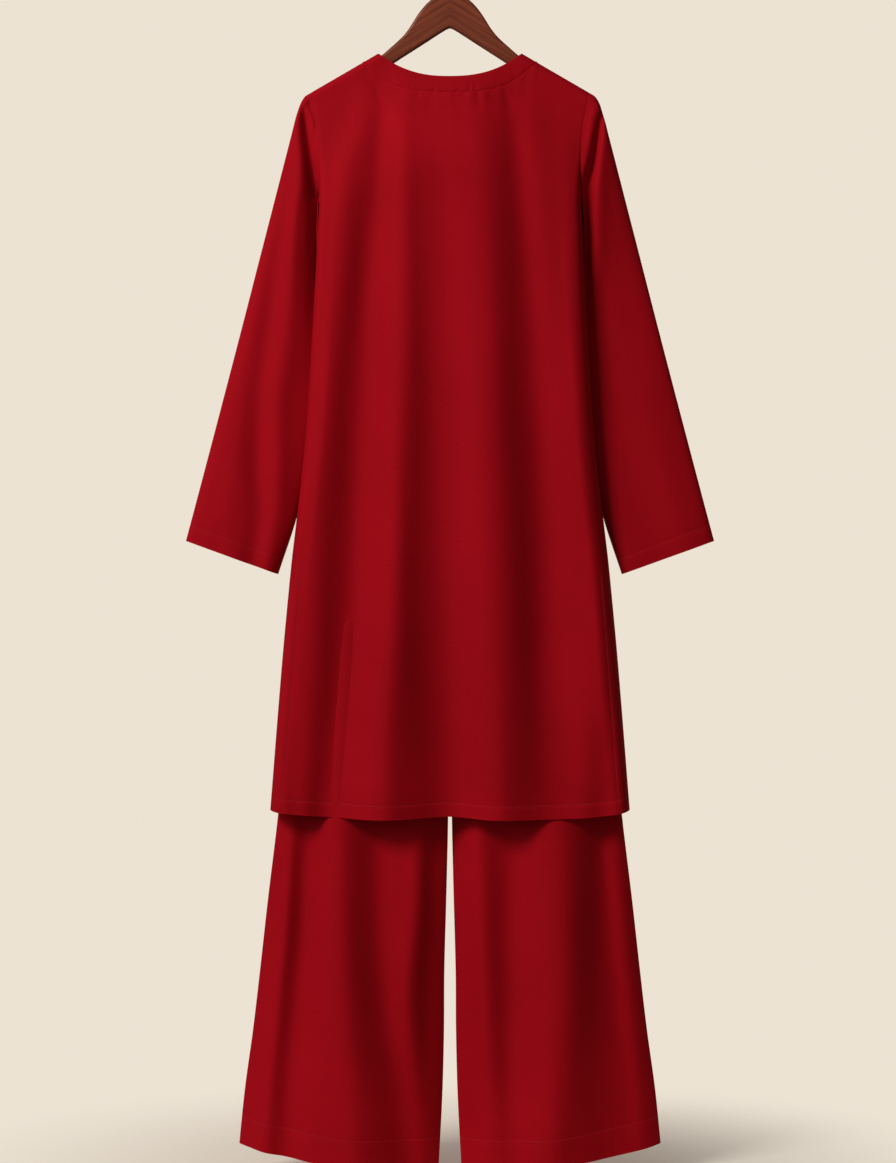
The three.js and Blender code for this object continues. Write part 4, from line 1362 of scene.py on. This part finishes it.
@dataclass
class Hanger:
    """The wooden hanger with its trouser bar, steel hook and collar."""

    thick: float = 10.0
    rounding: float = 3.6
    bar_half: float = 158.0
    wire: float = 1.9
    hook_inside: float = 21.0
    bend: float = 10.0
    hook_end: float = 205.0
    collar_radius: float = 5.5
    collar_high: float = 4.0
    edge_cuts: int = 3
    smoothings: int = 6
    apex: float = -105.0
    outline: tuple[tuple[float, float], ...] = (
        (0, HANGER_TOP),
        (19, HANGER_TOP - 0.5),
        (27, -67.5),
        (36, -77),
        (45, -89),
        (53, -103),
        (62, -115.5),
        (76.5, -128.5),
        (91.5, -141.6),
        (96.6, -145.8),
        (117, -157.6),
        (124, -159.5),
        (182, -193.2),
        (188, -198.4),
        (190.5, -202),
        (188.5, -209),
        (180, -212),
        (174, -217),
        (171.5, -229),
        (168, -234.5),
        (162.5, -234.5),
        (158.3, -229),
        (158.3, -214),
        (152, -203),
        (75.2, -151.5),
        (40, -129.5),
        (18, -115),
        (11, -110.6),
        (5.5, -107.2),
        (2.2, -105.6),
    )

    def build(self, finishes: Finishes) -> None:
        """Builds every piece.

        Args:
            finishes: The set's materials.
        """
        self.body(finishes.wood)
        self.bar(finishes.wood)
        self.hook(finishes.steel)
        self.collar(finishes.steel)

    def body(self, finish: bpy.types.Material) -> None:
        """Cuts the wooden body out of a board and rounds its edges.

        Args:
            finish: Its material.
        """
        shape = bmesh.new()
        half = [Vector((x, 0.0, z)) for x, z in self.outline]
        left = [Vector((-spot.x, 0.0, spot.z)) for spot in reversed(half[1:])]
        corners = [shape.verts.new(spot * MM) for spot in (*half, Vector((0.0, 0.0, self.apex)), *left)]
        board = shape.faces.new(corners)
        rim = list(board.edges)
        bmesh.ops.subdivide_edges(shape, edges=rim, cuts=self.edge_cuts)
        for _ in range(self.smoothings):
            bmesh.ops.smooth_vert(shape, verts=shape.verts, factor=0.5, use_axis_x=True, use_axis_z=True)
        bmesh.ops.translate(shape, verts=shape.verts, vec=(0.0, -self.thick / 2 * MM, 0.0))
        grown = bmesh.ops.extrude_face_region(shape, geom=list(shape.faces))
        moved = [item for item in grown["geom"] if isinstance(item, bmesh.types.BMVert)]
        bmesh.ops.translate(shape, verts=moved, vec=(0.0, self.thick * MM, 0.0))
        bmesh.ops.recalc_face_normals(shape, faces=shape.faces)
        edges = [edge for edge in shape.edges if abs(edge.verts[0].co.y - edge.verts[1].co.y) < 1e-6]
        bmesh.ops.bevel(
            shape, geom=edges, offset=self.rounding * MM, segments=5, profile=0.5,
            affect="EDGES", material=-1, clamp_overlap=True,
        )
        piece = put("hanger_body_wood", shape, finish, ["hanger_body"])
        piece.modifiers.new("shade", "WEIGHTED_NORMAL")

    def bar(self, finish: bpy.types.Material) -> None:
        """Turns the round trouser bar.

        Args:
            finish: Its material.
        """
        shape = bmesh.new()
        turn = Matrix.Translation((0.0, 0.0, BAR_Z * MM)) @ Matrix.Rotation(math.pi / 2, 4, "Y")
        bmesh.ops.create_cone(
            shape, cap_ends=True, segments=40, radius1=BAR_RADIUS * MM, radius2=BAR_RADIUS * MM,
            depth=2 * self.bar_half * MM, matrix=turn,
        )
        piece = put("hanger_bar_wood", shape, finish, ["hanger_bar"])
        piece.modifiers.new("shade", "WEIGHTED_NORMAL")

    def hook(self, finish: bpy.types.Material) -> None:
        """Bends the hook: a straight shank, a small bend and most of a circle over the origin.

        Args:
            finish: Its material.
        """
        radius = self.hook_inside + self.wire
        lean = math.acos(self.bend / (radius + self.bend))
        shank_top = -self.hook_inside - (radius + self.bend) * math.sin(lean)
        foot = HANGER_TOP + self.collar_high / 2
        shape = bmesh.new()
        ring = bmesh.ops.create_circle(
            shape, cap_ends=True, segments=20, radius=self.wire * MM,
            matrix=Matrix.Translation((0.0, 0.0, foot * MM)),
        )["verts"]
        start = list(ring[0].link_faces)
        grown = bmesh.ops.extrude_face_region(shape, geom=start, use_keep_orig=True)["geom"]
        end = [item for item in grown if isinstance(item, bmesh.types.BMVert)]
        bmesh.ops.translate(shape, verts=end, vec=(0.0, 0.0, (shank_top - foot) * MM))
        face = [item for item in grown if isinstance(item, bmesh.types.BMFace)]
        turns = (
            (Vector((self.bend, 0.0, shank_top)), lean, 10),
            (Vector((0.0, 0.0, -self.hook_inside)), -(lean + math.radians(self.hook_end)), 60),
        )
        for centre, angle, steps in turns:
            spun = bmesh.ops.spin(
                shape, geom=[*face, *{edge for item in face for edge in item.edges}],
                cent=centre * MM, axis=(0.0, 1.0, 0.0), angle=angle, steps=steps, use_duplicate=False,
            )
            face = [item for item in spun["geom_last"] if isinstance(item, bmesh.types.BMFace)]
        bmesh.ops.remove_doubles(shape, verts=shape.verts, dist=0.001 * MM)
        bmesh.ops.recalc_face_normals(shape, faces=shape.faces)
        piece = put("hanger_hook_steel", shape, finish, ["hanger_hook"])
        piece.modifiers.new("shade", "WEIGHTED_NORMAL")

    def collar(self, finish: bpy.types.Material) -> None:
        """Spins the small collar where the hook enters the wood.

        Args:
            finish: Its material.
        """
        low = HANGER_TOP + 0.1
        inner = self.wire + 0.1
        profile = (
            (inner, 0.0),
            (self.collar_radius, 0.0),
            (self.collar_radius, self.collar_high * 0.6),
            (self.collar_radius - 1.6, self.collar_high),
            (inner, self.collar_high),
        )
        shape = bmesh.new()
        corners = [shape.verts.new(Vector((x, 0.0, low + up)) * MM) for x, up in profile]
        section = [shape.edges.new((corners[n - 1], corners[n])) for n in range(len(corners))]
        bmesh.ops.spin(
            shape, geom=[*corners, *section], cent=(0.0, 0.0, 0.0), axis=(0.0, 0.0, 1.0),
            angle=2 * math.pi, steps=40, use_merge=True, use_duplicate=False,
        )
        bmesh.ops.remove_doubles(shape, verts=shape.verts, dist=0.001 * MM)
        bmesh.ops.recalc_face_normals(shape, faces=shape.faces)
        piece = put("hook_collar_steel", shape, finish, ["hook_collar"])
        rounded = piece.modifiers.new("edge", "BEVEL")
        rounded.width = 0.4 * MM
        rounded.segments = 2
        piece.modifiers.new("shade", "WEIGHTED_NORMAL")


# Studio


@dataclass(frozen=True)
class SoftLight:
    """A large soft lamp, with its place and aim in metres."""

    name: str
    place: tuple[float, float, float]
    aim: tuple[float, float, float]
    size: float
    power: float
    colour: Colour

    def build(self) -> None:
        """Hangs the lamp."""
        lamp = bpy.data.lights.new(self.name, "AREA")
        lamp.shape = "SQUARE"
        lamp.size = self.size
        lamp.energy = self.power
        lamp.color = self.colour
        holder = bpy.data.objects.new(self.name, lamp)
        holder.location = self.place
        way = Vector(self.aim) - Vector(self.place)
        holder.rotation_euler = way.to_track_quat("-Z", "Y").to_euler()
        bpy.context.scene.collection.objects.link(holder)


@dataclass(frozen=True)
class Studio:
    """A pale floor that fades into a cream surround, soft lamps and the camera."""

    cream: Colour = (0.845, 0.765, 0.655)
    surround: float = 1.0
    fill: float = 0.205
    floor_z: float = -1640.0
    floor_radius: float = 3.0
    camera_away: float = 4.2
    sensor: float = 36.0

    def build(self) -> None:
        """Builds the studio."""
        bpy.context.scene.view_settings.view_transform = "Standard"
        self.sky()
        self.floor()
        middle = (0.0, 0.0, -0.8)
        lights = (
            SoftLight("key", (-2.3, -2.5, 1.5), middle, size=1.3, power=116.0, colour=(1.0, 0.97, 0.93)),
            SoftLight("side", (-3.1, -1.9, 0.1), middle, size=1.3, power=20.0, colour=(1.0, 0.98, 0.95)),
            SoftLight("back", (0.0, 3.6, 1.0), middle, size=1.6, power=60.0, colour=(1.0, 0.97, 0.94)),
        )
        for light in lights:
            light.build()
        self.camera()

    def sky(self) -> None:
        """Surrounds the set with cream, and lights it more weakly than it looks."""
        world = bpy.data.worlds.new("surround")
        world.use_nodes = True
        tree = world.node_tree
        tree.nodes.clear()
        output = tree.nodes.new("ShaderNodeOutputWorld")
        choose = tree.nodes.new("ShaderNodeMixShader")
        path = tree.nodes.new("ShaderNodeLightPath")
        shades = []
        for strength in (self.fill, self.surround):
            shade = tree.nodes.new("ShaderNodeBackground")
            shade.inputs["Color"].default_value = (*self.cream, 1.0)
            shade.inputs["Strength"].default_value = strength
            shades.append(shade)
        tree.links.new(path.outputs["Is Camera Ray"], choose.inputs["Fac"])
        tree.links.new(shades[0].outputs[0], choose.inputs[1])
        tree.links.new(shades[1].outputs[0], choose.inputs[2])
        tree.links.new(choose.outputs[0], output.inputs["Surface"])
        bpy.context.scene.world = world

    def floor(self) -> None:
        """Lays a round pale floor that fades to the surround's colour at its rim."""
        shape = bmesh.new()
        bmesh.ops.create_circle(
            shape, cap_ends=True, segments=96, radius=self.floor_radius,
            matrix=Matrix.Translation((0.0, 0.0, self.floor_z * MM)),
        )
        mesh = bpy.data.meshes.new("floor")
        shape.to_mesh(mesh)
        shape.free()
        floor = bpy.data.objects.new("floor", mesh)
        bpy.context.scene.collection.objects.link(floor)
        wiring = Wiring("pale_floor")
        wiring.polish({"Base Color": (0.8, 0.74, 0.65, 1.0), "Roughness": 0.85})
        where = wiring.add("ShaderNodeTexCoord")
        centre = wiring.add("ShaderNodeMapping", {"Location": (0.0, 0.0, -self.floor_z * MM)})
        away = wiring.add("ShaderNodeVectorMath", operation="LENGTH")
        reach = wiring.add(
            "ShaderNodeMapRange", {"From Min": 0.2, "From Max": 0.8}, interpolation_type="SMOOTHSTEP",
        )
        clear = wiring.add("ShaderNodeBsdfTransparent")
        blend = wiring.add("ShaderNodeMixShader")
        wiring.join(where, "Object", centre, "Vector")
        wiring.join(centre, 0, away, 0)
        wiring.join(away, "Value", reach, "Value")
        wiring.join(reach, 0, blend, 0)
        wiring.join(wiring.surface, 0, blend, 1)
        wiring.join(clear, 0, blend, 2)
        wiring.join(blend, 0, wiring.output, "Surface")
        mesh.materials.append(wiring.material)

    def camera(self) -> None:
        """Sets the camera straight on to the kurta's back, with the photograph's frame."""
        lens = bpy.data.cameras.new("camera")
        frame_high = PHOTO_HIGH * PIXEL * MM
        lens.sensor_width = self.sensor
        lens.lens = self.sensor * self.camera_away / frame_high
        holder = bpy.data.objects.new("camera", lens)
        across = (PHOTO_WIDE / 2 - AXIS_PIXEL) * PIXEL * MM
        up = (ORIGIN_PIXEL - PHOTO_HIGH / 2) * PIXEL * MM
        holder.location = (across, -self.camera_away, up)
        holder.rotation_euler = (math.pi / 2, 0.0, 0.0)
        bpy.context.scene.collection.objects.link(holder)
        bpy.context.scene.camera = holder


def main() -> None:
    """Builds the set in its studio."""
    logging.basicConfig(level=logging.INFO, format="%(name)s %(message)s")
    Studio().build()
    finishes = Finishes.make()
    Kurta().build(finishes)
    Trousers().build(finishes)
    Hanger().build(finishes)


if __name__ == "__main__":
    main()
